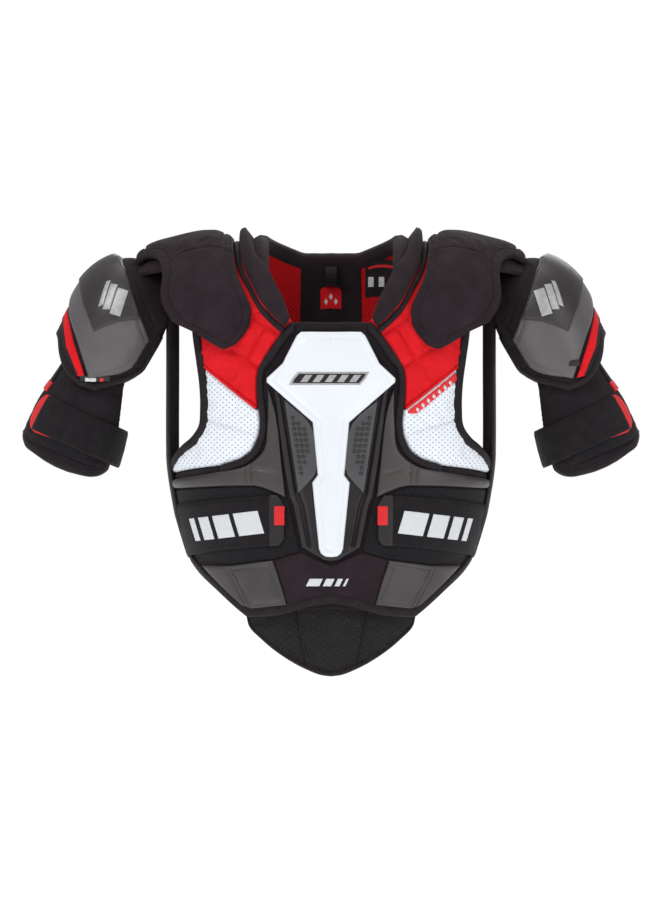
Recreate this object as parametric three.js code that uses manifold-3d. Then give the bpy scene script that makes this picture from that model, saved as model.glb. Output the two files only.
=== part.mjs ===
// Ice hockey shoulder pads: a front chest unit, a back unit hinged to it over the shoulders,
// two floating shoulder caps, two upper-arm guards and two lower-arm wraps, with their elastic straps.
// Millimetres, +Z up. The wearer looks along -Y, so the wearer's left side is +X.
// The origin is midway between the two shoulder seats, where the yokes rest on the wearer.
import * as THREE from "three";
import { mergeVertices } from "three/addons/utils/BufferGeometryUtils.js";
import Module from "manifold-3d";

const wasm = await Module();
wasm.setup();

// ---------------------------------------------------------------- driving dimensions
const CHEST_HALF_DEPTH = 116; // wearer's side of the liner, front to back
const SPRING_Z = -130; // below this height the torso walls stand upright
const ROUND = 2.4; // exponent of the torso's rounded plan section
const ARCH = 2.2; // exponent of the arch over the shoulders
const SIDE_LIMIT_DEG = 86; // where the front and back wings end at the wearer's sides
const GAP = 0.4; // between stacked layers
const HINGE_Y = 58; // fabric hinge between the yokes and the back unit
const HINGE_Z = 4;
const HINGE_TILT_DEG = 40;
const HINGE_GAP = 1.2;
const YOKE_FRONT_Z = -60; // where the yokes meet the chest panels

const LINER = [0, 4]; // layer depths, measured outwards from the wearer's side
const PAD = [4 + GAP, 13];
const OVERLAY = [4 + GAP, 10];
const ON_OVERLAY = 10 + GAP;
const YOKE = [0, 15];
const COLLAR = [15 + GAP, 23];

const ARM_TILT_DEG = 30; // upper-arm axis from the vertical
const ARM_CENTRE = [257.6, 0, -80.5];
const WRAP_TILT_DEG = 20; // lower-arm axis from the vertical
const WRAP_CENTRE = [302.8, 0, -194];

// Torso sections, wearer's side: [height, half width].
const HALF_WIDTH = [
  [-520, 135], [-450, 142], [-400, 150], [-357, 160], [-330, 168],
  [-309, 174], [-285, 178.5], [-263, 182], [-240, 184], [-130, 184],
];
// Height of the shoulder line: [distance from the middle, height].
const SHOULDER = [
  [0, 60], [40, 50], [70, 24], [85, 9.5], [100, 3.3], [115, 0],
  [130, -3.3], [145, -9], [160, -16], [184, -32],
];

// ---------------------------------------------------------------- colours
const colour = (hex, roughness, metalness = 0) =>
  new THREE.MeshStandardMaterial({ color: hex, roughness, metalness });
const BLACK_KNIT = colour(0x1d1b1e, 0.9);
const BLACK_FOAM = colour(0x222023, 0.8);
const LOOP_PILE = colour(0x0b0a0b, 1.0);
const GREY_FOAM = colour(0x4b4743, 0.55);
const RED_FABRIC = colour(0xd3121e, 0.7);
const RED_MESH = colour(0xb00e1a, 0.85);
const WHITE_PERFORATED = colour(0xdfe5ee, 0.6);
const WHITE_PLATE = colour(0xf4f7fa, 0.3);
const FRAME_PLASTIC = colour(0x2d2c2e, 0.45);
const INSERT_PLASTIC = colour(0x39393c, 0.4);
const ELASTIC = colour(0x18171a, 0.85);

// ---------------------------------------------------------------- small tools
const radians = THREE.MathUtils.degToRad;
const range = (from, to, steps) =>
  Array.from({ length: steps + 1 }, (_, i) => from + ((to - from) * i) / steps);

// A smooth curve through stations [[at, value], ...], level beyond the ends.
function smooth(stations, at) {
  const last = stations.length - 1;
  if (at <= stations[0][0]) return stations[0][1];
  if (at >= stations[last][0]) return stations[last][1];
  const i = stations.findIndex(([x]) => x > at) - 1;
  const slope = (k) => {
    const lo = stations[Math.max(k - 1, 0)];
    const hi = stations[Math.min(k + 1, last)];
    return (hi[1] - lo[1]) / (hi[0] - lo[0]);
  };
  const [x0, y0] = stations[i];
  const [x1, y1] = stations[i + 1];
  const h = x1 - x0;
  const t = (at - x0) / h;
  const t2 = t * t;
  const t3 = t2 * t;
  return (
    (2 * t3 - 3 * t2 + 1) * y0 + (t3 - 2 * t2 + t) * h * slope(i) +
    (3 * t2 - 2 * t3) * y1 + (t3 - t2) * h * slope(i + 1)
  );
}

function toSolid(geometry) {
  const bare = new THREE.BufferGeometry();
  bare.setAttribute("position", geometry.getAttribute("position"));
  if (geometry.index) bare.setIndex(geometry.index);
  const merged = mergeVertices(bare, 1e-3);
  return new wasm.Manifold(new wasm.Mesh({
    numProp: 3,
    vertProperties: merged.attributes.position.array,
    triVerts: new Uint32Array(merged.index.array),
  }));
}

function toGeometry(solid) {
  const mesh = solid.getMesh();
  const geometry = new THREE.BufferGeometry();
  geometry.setAttribute("position", new THREE.BufferAttribute(new Float32Array(mesh.vertProperties), 3));
  geometry.setIndex(new THREE.BufferAttribute(new Uint32Array(mesh.triVerts), 1));
  geometry.computeVertexNormals();
  return geometry;
}

// A closed sheet between two depths of a surface: surface(u, v) gives a point, and the sheet
// follows the columns us and the rows vs. outward is the side that depth is measured towards.
function sheet(surface, us, vs, [inner, outer], outward = 1) {
  const step = 1e-3;
  const at = (u, v, depth) => {
    const p = surface(u, v);
    const du = surface(u + step, v).sub(surface(u - step, v));
    const dv = surface(u, v + step).sub(surface(u, v - step));
    return p.add(du.cross(dv).normalize().multiplyScalar(depth * outward));
  };
  const positions = [];
  for (const depth of [inner, outer])
    for (const u of us) for (const v of vs) positions.push(...at(u, v, depth).toArray());
  const rows = vs.length;
  const layer = us.length * rows;
  const index = [];
  const quad = (a, b, c, d) => index.push(a, b, c, a, c, d);
  for (let i = 0; i < us.length - 1; i++) {
    const mirrored = us[i] + us[i + 1] < -1e-6; // keeps the facets alike on both sides
    for (let j = 0; j < rows - 1; j++) {
      const [a, b, c, d] = [0, rows, rows + 1, 1].map((k) => i * rows + j + k);
      const [e, f, g, h] = [a, b, c, d].map((k) => layer + k);
      if (mirrored) {
        quad(f, g, h, e);
        quad(d, c, b, a);
      } else {
        quad(e, f, g, h);
        quad(a, d, c, b);
      }
    }
  }
  for (let j = 0; j < rows - 1; j++) {
    const z = (us.length - 1) * rows + j;
    quad(j, layer + j, layer + j + 1, j + 1);
    quad(z, z + 1, layer + z + 1, layer + z);
  }
  for (let i = 0; i < us.length - 1; i++) {
    const a = i * rows;
    const z = a + rows - 1;
    quad(a, a + rows, layer + a + rows, layer + a);
    quad(z, layer + z, layer + z + rows, z + rows);
  }
  const geometry = new THREE.BufferGeometry();
  geometry.setAttribute("position", new THREE.Float32BufferAttribute(positions, 3));
  geometry.setIndex(index);
  const solid = toSolid(geometry);
  if (solid.volume() > 0) return solid;
  geometry.setIndex(index.reverse());
  return toSolid(geometry);
}

// An upright block with the outline [[x, z], ...] seen from the front, from y0 to y1.
function frontBlock(outline, y0 = -250, y1 = 0) {
  const shape = new THREE.Shape(outline.map(([x, z]) => new THREE.Vector2(x, z)));
  const block = new THREE.ExtrudeGeometry(shape, { depth: y1 - y0, bevelEnabled: false });
  return toSolid(block.rotateX(Math.PI / 2).translate(0, y1, 0));
}

// A block with the outline [[y, z], ...] seen from the side, right across the part.
function sideBlock(outline) {
  const shape = new THREE.Shape(outline.map(([y, z]) => new THREE.Vector2(y, z)));
  const block = new THREE.ExtrudeGeometry(shape, { depth: 600, bevelEnabled: false });
  const turn = new THREE.Matrix4().makeBasis(
    new THREE.Vector3(0, 1, 0), new THREE.Vector3(0, 0, 1), new THREE.Vector3(1, 0, 0));
  return toSolid(block.applyMatrix4(turn).translate(-300, 0, 0));
}

// A half outline from the top middle to the bottom middle, completed by its mirror image.
const bothSides = (half) => [
  ...half,
  ...half.slice().reverse().filter(([x]) => x > 0.01).map(([x, z]) => [-x, z]),
];

function piece(name, solid, material) {
  const mesh = new THREE.Mesh(toGeometry(solid), material);
  mesh.name = name;
  return mesh;
}

// Builds a piece for the wearer's left and its mirror image for the right.
function pair(name, solid, material) {
  const left = piece(`left_${name}`, solid, material);
  const right = piece(`right_${name}`, solid, material.clone());
  right.scale.x = -1;
  return [left, right];
}

// ---------------------------------------------------------------- the torso surface
// turn is the angle from straight ahead, in radians. drop is 0 on top of the shoulders, 1 at the
// spring line, and one more for each 100 mm below it; it is negative down the back.
function torso(turn, drop) {
  const side = Math.sign(Math.sin(turn)) * Math.abs(Math.sin(turn)) ** (2 / ROUND);
  const depth = CHEST_HALF_DEPTH * Math.abs(Math.cos(turn)) ** (2 / ROUND);
  const down = Math.abs(drop);
  const facing = drop < 0 ? 1 : -1;
  if (down >= 1) {
    const z = SPRING_Z - (down - 1) * 100;
    return new THREE.Vector3(side * smooth(HALF_WIDTH, z), facing * depth, z);
  }
  const x = side * smooth(HALF_WIDTH, SPRING_Z);
  const rise = smooth(SHOULDER, Math.abs(x)) - SPRING_Z;
  const angle = (down * Math.PI) / 2;
  return new THREE.Vector3(
    x,
    facing * depth * Math.sin(angle) ** (2 / ARCH),
    SPRING_Z + rise * Math.cos(angle) ** (2 / ARCH),
  );
}
const turnAt = (x) => Math.asin((x / smooth(HALF_WIDTH, SPRING_Z)) ** (ROUND / 2));
const dropAt = (z) => 1 + (SPRING_Z - z) / 100;

// A wide sheet of the torso's front or back; panels are cut from it.
const TORSO_TURNS = range(-SIDE_LIMIT_DEG, SIDE_LIMIT_DEG, 14).map(radians);
const TORSO_DROPS = [0.16, 0.4, 0.65, 1, 1.55, 2.1, 2.65, 3.2, 3.75, 4.3, 4.9];
function torsoSheet(depths, { back = false, widest = SIDE_LIMIT_DEG, bottom = 4.4 } = {}) {
  const turns = TORSO_TURNS.filter((t) => Math.abs(t) <= radians(widest) + 1e-6);
  const drops = TORSO_DROPS.filter((d) => d <= bottom).map((d) => (back ? -d : d));
  return sheet(torso, turns, drops, depths, -1);
}

// Half-space of the back unit and of the yokes, either side of the fabric hinge.
const tilt = radians(HINGE_TILT_DEG);
const hingeLine = (distance, offset) => [
  HINGE_Y + distance * Math.sin(tilt) + offset * Math.cos(tilt),
  HINGE_Z + distance * Math.cos(tilt) - offset * Math.sin(tilt),
];
const yokeSide = sideBlock([
  [-250, YOKE_FRONT_Z + GAP / 2], [0, YOKE_FRONT_Z + GAP / 2],
  hingeLine(-70, -HINGE_GAP), hingeLine(60, -HINGE_GAP), [-250, 120],
]);
const backSide = sideBlock([
  [0, -600], [0, -80], hingeLine(-70, HINGE_GAP), hingeLine(60, HINGE_GAP), [300, 100], [300, -600],
]);

// ---------------------------------------------------------------- outlines, seen from the front
const ARMHOLE = [
  [166, YOKE_FRONT_Z - GAP], [165, -90], [160, -126], [156, -156], [155, -186], [157, -206],
  [167, -221], [180, -232], [190, -244], [196, -260],
];
const SIDE_AND_HEM = [
  [215, -266], [200, -285], [189, -309], [182, -330], [176, -345], [171, -360], [159, -379],
  [134, -404], [111, -425], [100, -434], [62, -431], [26, -421], [0, -417],
];
const OVERLAY_NECK = [
  [0, -81], [46, -81], [54, -89], [70, -111], [86, -137], [88, -160], [86, -184], [84, -202],
  [86, -217], [95, -236], [107, -245], [132, -253],
];
const RED_LINE = [[158, -129], [88.5, -184]]; // lower edge of the clavicle pads
const outsideOverlay = (part) => part.map(([x, z]) => [x + 0.9, z + 0.6]);

// ---------------------------------------------------------------- front chest unit
function chestUnit() {
  const unit = new THREE.Group();
  const liner = torsoSheet(LINER);
  const pad = torsoSheet(PAD);
  const overlay = torsoSheet(OVERLAY);
  const cut = (from, outline) => from.intersect(frontBlock(outline));
  const raised = (thickness) => torsoSheet([ON_OVERLAY, ON_OVERLAY + thickness]);

  unit.add(piece("chest_liner", cut(liner, bothSides([
    [0, -83], [47, -83], [62, YOKE_FRONT_Z - GAP], ...ARMHOLE, ...SIDE_AND_HEM])), BLACK_KNIT));
  unit.add(piece("chest_overlay", cut(overlay, bothSides([
    ...OVERLAY_NECK, [200, -264.5], ...SIDE_AND_HEM])), BLACK_FOAM));

  const clavicle = cut(pad, [
    [62, YOKE_FRONT_Z - GAP], ...ARMHOLE.slice(0, 3), ...RED_LINE,
    ...outsideOverlay(OVERLAY_NECK.slice(1, 6)).reverse()]);
  unit.add(...pair("clavicle_pad", clavicle, RED_FABRIC));
  const side = cut(pad, [
    [158.5, -130], ...ARMHOLE.slice(3), [205, -263.6],
    ...outsideOverlay(OVERLAY_NECK.slice(6)).reverse(), [89, -185.2]]);
  unit.add(...pair("side_chest_pad", side, WHITE_PERFORATED));

  // Moulded foam, loop pile and cover panels on the overlay.
  const ribs = raised(4.6);
  unit.add(...pair("rib_pad", cut(ribs, [
    [76, -160], [77, -205], [81, -234], [101, -252], [130, -259], [200, -271], [200, -281], [105, -277],
    [92, -277], [54.5, -291], [58, -260], [72.5, -168]]), GREY_FOAM));
  unit.add(...pair("belly_patch", cut(ribs, [
    [70, -366], [123, -373], [157, -373], [131, -400], [108, -421], [96, -425], [53, -420]]), GREY_FOAM));
  const pile = raised(1.6);
  unit.add(...pair("loop_panel", cut(pile, [
    [51.5, -293], [92.5, -278.5], [105, -278.5], [192, -283], [181, -325], [166, -357], [146, -366],
    [122, -371.5], [69, -364.5], [38, -355], [50, -300]]), LOOP_PILE));
  const cover = raised(2.6);
  unit.add(piece("belly_band", cut(cover, bothSides([
    [0, -373], [36, -357], [68.5, -366], [51.5, -422], [26, -415], [0, -411]])), BLACK_KNIT));

  unit.add(...sternumGuard());
  return unit;
}

function sternumGuard() {
  const narrow = { widest: 38 };
  const base = ON_OVERLAY;
  const cut = (depths, outline) => torsoSheet(depths, narrow).intersect(frontBlock(outline));
  const frame = cut([base, base + 7.6], bothSides([
    [0, -94], [37, -94], [75, -149], [69, -163], [66, -182], [50, -290], [46, -300], [34, -352],
    [0, -370]]));
  const plate = cut([base + 8, base + 13.5], bothSides([
    [0, -92.7], [36, -92.7], [41, -97], [77, -148], [77, -153], [22, -201], [16, -264], [22.5, -273],
    [14.5, -354], [0, -362]]));
  const wing = cut([base + 8, base + 12], [
    [56, -174], [25, -202.5], [19, -264], [26, -272], [39, -286]]);
  return [
    piece("sternum_frame", frame, FRAME_PLASTIC),
    piece("sternum_plate", plate, WHITE_PLATE),
    ...pair("sternum_wing", wing, FRAME_PLASTIC),
  ];
}

// The belly pad hangs behind the chest hem on a fabric hinge.
function bellyPad() {
  const sheetBehind = torsoSheet([-14, -5], { widest: 50, bottom: 5 });
  return piece("belly_pad", sheetBehind.intersect(frontBlock(bothSides([
    [0, -412], [90, -420], [104, -434], [101, -446], [85, -461], [57, -482], [27, -497.5], [0, -505]]))),
  BLACK_FOAM);
}

// ---------------------------------------------------------------- yokes and collars
function yokes() {
  const columns = [76, 86, 100, 130, 150, 168].map(turnAt);
  const drops = [-0.5, -0.4, -0.27, -0.13, 0.13, 0.3, 0.45, 0.6, 0.75, 0.9];
  const yoke = sheet(torso, columns, drops, YOKE, -1).intersect(yokeSide);
  const band = sheet(torso, range(turnAt(40), turnAt(120), 7), drops, COLLAR, -1)
    .intersect(sideBlock([[-250, -120],
      [0, -120], hingeLine(-70, -HINGE_GAP), hingeLine(60, -HINGE_GAP), [-250, 120]]))
    .intersect(frontBlock([
      [49, -78.5], [64, -55], [80, -30], [88, -5], [91, 25], [92, 60], [114, 60], [113, 11],
      [107, -22], [92, -45], [77, -62], [57, -85.5]], -250, 250));
  return [...pair("yoke_pad", yoke, BLACK_KNIT), ...pair("collar", band, BLACK_KNIT)];
}

// ---------------------------------------------------------------- back unit
function backUnit() {
  const unit = new THREE.Group();
  const options = { back: true };
  const cut = (depths, outline, more = {}) =>
    torsoSheet(depths, { ...options, ...more }).intersect(backSide).intersect(frontBlock(outline, 0, 250));
  const lining = [-0.2, 3.8];
  const outer = [4.2, 13];
  const neck = [[0, -8], [36, -8], [58, -1], [80, 8], [95, 40]];
  const backArmhole = [[160, 40], [160, -60], [150, -100], [142, -150], [143, -190], [158, -222],
    [180, -243]];

  unit.add(piece("back_lining", cut(lining, bothSides([
    ...neck, ...backArmhole, [215, -250], [190, -300], [172, -345], [120, -365], [31, -376], [0, -380]])),
  RED_MESH));
  unit.add(...pair("back_pad", cut(outer, [
    [37, -8], ...neck.slice(2), ...backArmhole.slice(0, 5), [146, -200], [100, -232],
    [37, -244]]), BLACK_FOAM));
  unit.add(...pair("kidney_pad", cut(outer, [
    [148, -201.5], ...backArmhole.slice(5), [215, -250], [200, -292], [190, -320], [170, -345], [120, -364],
    [37, -372], [37, -246], [101, -234]]), GREY_FOAM));
  unit.add(piece("spine_pad", cut(outer, bothSides([
    [0, -8], [35.8, -8], [35.8, -372], [0, -378]])), BLACK_FOAM));
  unit.add(piece("spine_plate", cut([13.4, 19], bothSides([
    [0, -28], [25, -28], [30, -34], [27, -110], [12, -113], [12, -117], [26, -120], [23, -198], [10, -201],
    [10, -205], [22, -208], [17, -285], [12, -290], [0, -290]]),
  { widest: 26 }), FRAME_PLASTIC));
  const rim = [[0, 6], [36, 6], [60, 14], [86, 32], [98, 60]];
  unit.add(piece("back_collar", cut([-2, 15], bothSides([
    ...rim, [116, 60], ...neck.slice().reverse().map(([x, z]) => [x === 95 ? 110 : x, z + 0.9])]),
  { widest: 50, bottom: 1.2 }), BLACK_KNIT));

  // Hanging loop and its label, inside the neck.
  unit.add(piece("hanger_label", cut([-3.4, -0.8], [
    [-13, -38], [-9, -34.5], [9, -34.5], [13, -38], [13, -61],
    [-13, -61]], { widest: 26, bottom: 1.2 }), RED_FABRIC));
  return unit;
}

function hangerLoop() {
  // A strip of webbing that bows away from the lining, from under the collar to the label.
  const strip = [
    [90.2, -9.4], [83, -12], [78, -18], [79, -25], [86, -30.5], [99.5, -33.4], [99.8, -31.4], [87, -28.5],
    [81, -24], [80, -18.5], [84, -14], [90.8, -11.3]];
  const shape = new THREE.Shape(strip.map(([y, z]) => new THREE.Vector2(y, z)));
  const block = new THREE.ExtrudeGeometry(shape, { depth: 14, bevelEnabled: false });
  const turn = new THREE.Matrix4().makeBasis(
    new THREE.Vector3(0, 1, 0), new THREE.Vector3(0, 0, 1), new THREE.Vector3(1, 0, 0));
  return piece("hanger_loop", toSolid(block.applyMatrix4(turn).translate(-7, 0, 0)), ELASTIC);
}

// ---------------------------------------------------------------- side straps
const strapMiddle = (turnDeg) => -318 - 0.17 * (turnDeg - 18);
function strapSurface(turn, across) {
  const z = strapMiddle((turn * 180) / Math.PI) + across;
  return torso(turn, dropAt(z));
}
function sideStraps() {
  const width = 30;
  const depths = [12.8, 15.2];
  const strap = sheet(strapSurface, range(radians(19), radians(88.5), 9), range(width, -width, 2), depths);
  const tab = sheet(strapSurface, range(radians(14.5), radians(18.6), 2), range(width - 4,
    -width + 4, 2), depths);
  const pull = sheet(strapSurface, range(radians(14.8), radians(18.4), 2), range(16, -6, 2), [14.8, 18.5]);
  const around = (turnDeg, across) => {
    const z = strapMiddle(turnDeg) + across;
    const turn = radians(turnDeg);
    return turnDeg <= 90 ? torso(turn, dropAt(z)) : torso(Math.PI - turn, -dropAt(z));
  };
  const rear = sheet((turn, across) => around((turn * 180) / Math.PI, across),
    range(radians(90.5), radians(128), 6), range(width, -width, 2), [13.4, 15.9]);
  return [
    ...pair("side_strap", strap, ELASTIC),
    ...pair("strap_tab", tab.add(pull), FRAME_PLASTIC),
    ...pair("side_strap_rear", rear, ELASTIC),
  ];
}

// ---------------------------------------------------------------- shoulder caps
// Inner surface of a cap: x runs out along the shoulder, swing goes from -1 (back) to 1 (front).
const CAP_TOP = [[96, 4], [118, 11], [132, 18], [146, 20], [180, 13], [214, 4], [236, -9]];
const CAP_DEPTH_FRONT = [[96, 110], [130, 112], [165, 106], [205, 90], [236, 74]];
const CAP_DEPTH_BACK = [[96, 120], [130, 122], [165, 112], [205, 92], [236, 74]];
const CAP_SPRING_Z = -80;
function cap(x, swing) {
  const down = Math.abs(swing);
  const reach = smooth(swing > 0 ? CAP_DEPTH_FRONT : CAP_DEPTH_BACK, x);
  const facing = swing < 0 ? 1 : -1;
  const angle = (Math.min(down, 1) * Math.PI) / 2;
  const rise = smooth(CAP_TOP, x) - CAP_SPRING_Z;
  return new THREE.Vector3(
    x,
    facing * reach * Math.sin(angle) ** (2 / 2.3),
    CAP_SPRING_Z + rise * Math.cos(angle) ** (2 / 2.3) - Math.max(0, down - 1) * 100,
  );
}
function caps() {
  const xs = [96, 107, 120, 134, 150, 175, 205, 234];
  const swings = [-1.4, -1, -0.75, -0.55, -0.36, -0.17, 0, 0.17, 0.36, 0.55, 0.75, 1, 1.4];
  const front = [
    [117, 60], [117, 5], [112, -25], [103, -47], [96.5, -64], [96.5, -75], [109, -101],
    [118, -109], [129, -113],
    [141, -107], [164, -93], [196, -71], [203, -57], [203, -8], [214, 9], [233, 12], [233, 60]];
  const back = [
    [117, 60], [117, 5], [112, -25], [106, -50], [110, -72], [128, -86], [141, -84], [164, -78], [194, -66],
    [203, -52], [203, -8], [214, 9], [233, 12], [233, 60]];
  const trimmed = (depths, inset) => {
    const shell = sheet(cap, xs, swings, depths, -1);
    const shrink = (outline) => outline.map(([x, z]) => [
      x < 150 ? x + inset : x - inset, z > 30 ? z : z + inset * (z < -60 ? 1 : 0)]);
    return shell.intersect(frontBlock(shrink(front), -250, 0))
      .add(shell.intersect(frontBlock(shrink(back), 0, 250)));
  };
  return [
    ...pair("cap_cover", trimmed([4, 12], 0), BLACK_KNIT),
    ...pair("cap_insert", trimmed([0.6, 3.6], 12), INSERT_PLASTIC),
  ];
}

// ---------------------------------------------------------------- arms
// Local frame of each arm piece: +X away from the body, +Z up along the arm, origin inside the arm.
const UPPER_ACROSS = [[-95, 49], [-60, 51], [0, 53]];
const UPPER_DEPTH = [[-95, 54], [-60, 59], [0, 64]];
const DOME_HEIGHT = 74;
function upperArm(around, up) {
  const close = up <= 0 ? 1 : Math.max(1e-6, 1 - (up / DOME_HEIGHT) ** 2.2) ** (1 / 2.2);
  const across = smooth(UPPER_ACROSS, up) * close;
  const depth = smooth(UPPER_DEPTH, up) * close;
  return new THREE.Vector3(across * Math.cos(around), -depth * Math.sin(around), up);
}
const LOWER_ACROSS = [[-66, 52], [-40, 51], [0, 47], [30, 39], [60, 31.5]];
const LOWER_DEPTH = [[-66, 52], [-40, 52], [0, 48], [30, 43], [60, 38]];
function lowerArm(around, up) {
  return new THREE.Vector3(
    smooth(LOWER_ACROSS, up) * Math.cos(around), -smooth(LOWER_DEPTH, up) * Math.sin(around), up);
}

function upperArmPieces(side) {
  const cut = (depths, outline, widest = 154) => {
    const arounds = range(-154, 154, 14).filter((a) => Math.abs(a) <= widest + 1e-6).map(radians);
    const heights = [-95, -60, -25, 0, 22, 42, 58, 68, 72.5];
    return sheet(upperArm, arounds, heights, depths, -1).intersect(frontBlock(outline, -200, 200));
  };
  const rim = [[-75, 30], [-65, 2], [-59.5, -26], [-45, -55], [-16.5, -85], [5.4, -88],
    [33.6, -77], [45, -66]];
  const guardInner = [[35, 72], [-17.5, 24], [-52, -3.6]];
  return [
    piece(`${side}_bicep_pad`, cut([0, 8], [
      [33, 100], [17, 67], [-20, 69], [-58, 56], ...rim, [57, -51], [80, -40], [90, 0],
      [90, 100]]), BLACK_FOAM),
    piece(`${side}_bicep_guard`, cut([8 + GAP, 13], [
      [45, 100], ...guardInner, [-39, -45.6], [-4.4, -76], [33, -42], [59, -17.4], [67, 2],
      [90, 14], [90, 100]],
    132), GREY_FOAM),
    piece(`${side}_bicep_patch`, cut([13 + GAP, 14.6], [
      [50, 100], [36, 70], [-17, 23.5], [-23, 18.7], [0, -0.6], [18, -24], [58, 12], [72, 24],
      [90, 40], [90, 100]],
    132), FRAME_PLASTIC),
    piece(`${side}_bicep_side`, cut([8 + GAP, 10.4], [
      [0, -77], [36, -45], [61, -19], [69, 0], [90, 12], [90, -26], [64, -35], [48, -56], [22, -77]],
    132), RED_FABRIC),
  ];
}

const armStrapMiddle = (around) => -16.5 + 5 * Math.cos(around);
const ARM_STRAP_HALF = 22;
function armStrap(around, across) {
  return lowerArm(around, armStrapMiddle(around) + across);
}
function lowerArmPieces(side) {
  const heights = [-66, -45, -20, 0, 20, 40, 60];
  const wrap = sheet(lowerArm, range(radians(-150), radians(150), 14), heights, [0, 9], -1)
    .intersect(frontBlock([
      [-80, 58], [80, 58], [80, -42], [60, -54], [45, -59], [-25, -65.5], [-42, -62], [-53, -50],
      [-58, -38],
      [-80, -30]], -200, 200));
  const across = range(-ARM_STRAP_HALF, ARM_STRAP_HALF, 2);
  const anchor = sheet(armStrap, range(radians(182), radians(235), 4), across, [11.2, 13.4], -1);
  const link = sheet(lowerArm, range(radians(-14), radians(14), 2), [38, 50, 70], [9 + GAP, 11.6], -1);
  return [
    piece(`${side}_arm_wrap`, wrap, BLACK_FOAM),
    piece(`${side}_arm_strap_anchor`, anchor, ELASTIC),
    piece(`${side}_arm_link`, link, ELASTIC),
  ];
}
function armStrapPieces(side) {
  const across = range(-ARM_STRAP_HALF, ARM_STRAP_HALF, 2);
  const strap = sheet(armStrap, range(radians(33), radians(178), 8), across, [11.2, 13.4], -1);
  return [piece(`${side}_arm_strap`, strap, ELASTIC)];
}

function arm(side) {
  const sign = side === "left" ? 1 : -1;
  const whole = new THREE.Group();
  whole.scale.x = sign;
  const upper = new THREE.Group();
  upper.position.set(...ARM_CENTRE);
  upper.rotation.y = -radians(ARM_TILT_DEG);
  upper.add(...upperArmPieces(side));
  const lower = new THREE.Group();
  lower.position.set(...WRAP_CENTRE);
  lower.rotation.y = -radians(WRAP_TILT_DEG);
  lower.add(...lowerArmPieces(side), ...armStrapPieces(side));
  whole.add(upper, lower);
  return whole;
}

// ---------------------------------------------------------------- the whole part
const pads = new THREE.Group();
pads.add(chestUnit(), bellyPad(), ...yokes(), backUnit(), hangerLoop());
pads.add(...sideStraps(), ...caps(), arm("left"), arm("right"));
export default pads;
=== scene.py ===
"""The looks of the ice hockey shoulder pads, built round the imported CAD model.

Outlines, heights and thicknesses are in millimetres and follow the CAD. Outlines are given in x and z,
as seen from the front, and are then laid on a surface in u, v. Heights are measured outwards from that
surface, which is the wearer's side. Meshes are made in metres, in the row frame.
"""
import math

import bpy
import numpy as np
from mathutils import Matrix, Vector
from mathutils.geometry import delaunay_2d_cdt


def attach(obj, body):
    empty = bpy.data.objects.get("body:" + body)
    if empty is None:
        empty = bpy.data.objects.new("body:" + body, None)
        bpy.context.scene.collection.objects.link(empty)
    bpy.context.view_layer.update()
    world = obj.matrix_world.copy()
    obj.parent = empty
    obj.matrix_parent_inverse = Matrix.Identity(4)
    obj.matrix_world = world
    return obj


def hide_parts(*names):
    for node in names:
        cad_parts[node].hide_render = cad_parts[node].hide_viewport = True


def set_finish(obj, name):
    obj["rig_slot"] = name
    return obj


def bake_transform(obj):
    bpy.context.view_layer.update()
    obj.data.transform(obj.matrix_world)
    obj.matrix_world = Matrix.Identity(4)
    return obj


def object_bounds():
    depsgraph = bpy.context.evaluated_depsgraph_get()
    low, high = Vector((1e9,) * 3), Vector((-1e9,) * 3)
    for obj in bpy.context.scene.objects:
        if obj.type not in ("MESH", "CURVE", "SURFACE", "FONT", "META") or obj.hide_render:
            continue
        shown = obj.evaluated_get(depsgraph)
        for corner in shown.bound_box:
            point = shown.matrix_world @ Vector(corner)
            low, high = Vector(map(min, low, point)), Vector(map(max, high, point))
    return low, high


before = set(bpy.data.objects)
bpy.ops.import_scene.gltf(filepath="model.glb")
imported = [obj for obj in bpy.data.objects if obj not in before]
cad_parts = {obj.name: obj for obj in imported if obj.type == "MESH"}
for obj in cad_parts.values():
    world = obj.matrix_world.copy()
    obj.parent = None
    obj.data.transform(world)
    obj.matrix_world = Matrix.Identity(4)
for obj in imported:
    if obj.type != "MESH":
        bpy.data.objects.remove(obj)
CAD_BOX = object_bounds()
SCENE = bpy.context.scene
MM = 0.001
PER_METRE = 1000.0


def add(name, data):
    """A new object in the scene."""
    obj = bpy.data.objects.new(name, data)
    SCENE.collection.objects.link(obj)
    return obj


def coords(mesh):
    """The positions of a mesh's vertices, one row each."""
    flat = np.empty(len(mesh.vertices) * 3)
    mesh.vertices.foreach_get("co", flat)
    return flat.reshape(-1, 3)


# ---------------- curves and outlines
def spline(stations):
    """A smooth function through [[at, value], ...], level beyond the ends."""
    xs, ys = np.array(sorted(stations), float).T
    slopes = np.empty_like(ys)
    slopes[1:-1] = (ys[2:] - ys[:-2]) / (xs[2:] - xs[:-2])
    slopes[0] = (ys[1] - ys[0]) / (xs[1] - xs[0])
    slopes[-1] = (ys[-1] - ys[-2]) / (xs[-1] - xs[-2])

    def value(at):
        at = np.clip(at, xs[0], xs[-1])
        i = np.clip(np.searchsorted(xs, at, side="right") - 1, 0, len(xs) - 2)
        h = xs[i + 1] - xs[i]
        t = (at - xs[i]) / h
        t2, t3 = t * t, t * t * t
        return (
            (2 * t3 - 3 * t2 + 1) * ys[i] + (t3 - 2 * t2 + t) * h * slopes[i]
            + (3 * t2 - 2 * t3) * ys[i + 1] + (t3 - t2) * h * slopes[i + 1]
        )

    return value


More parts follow.
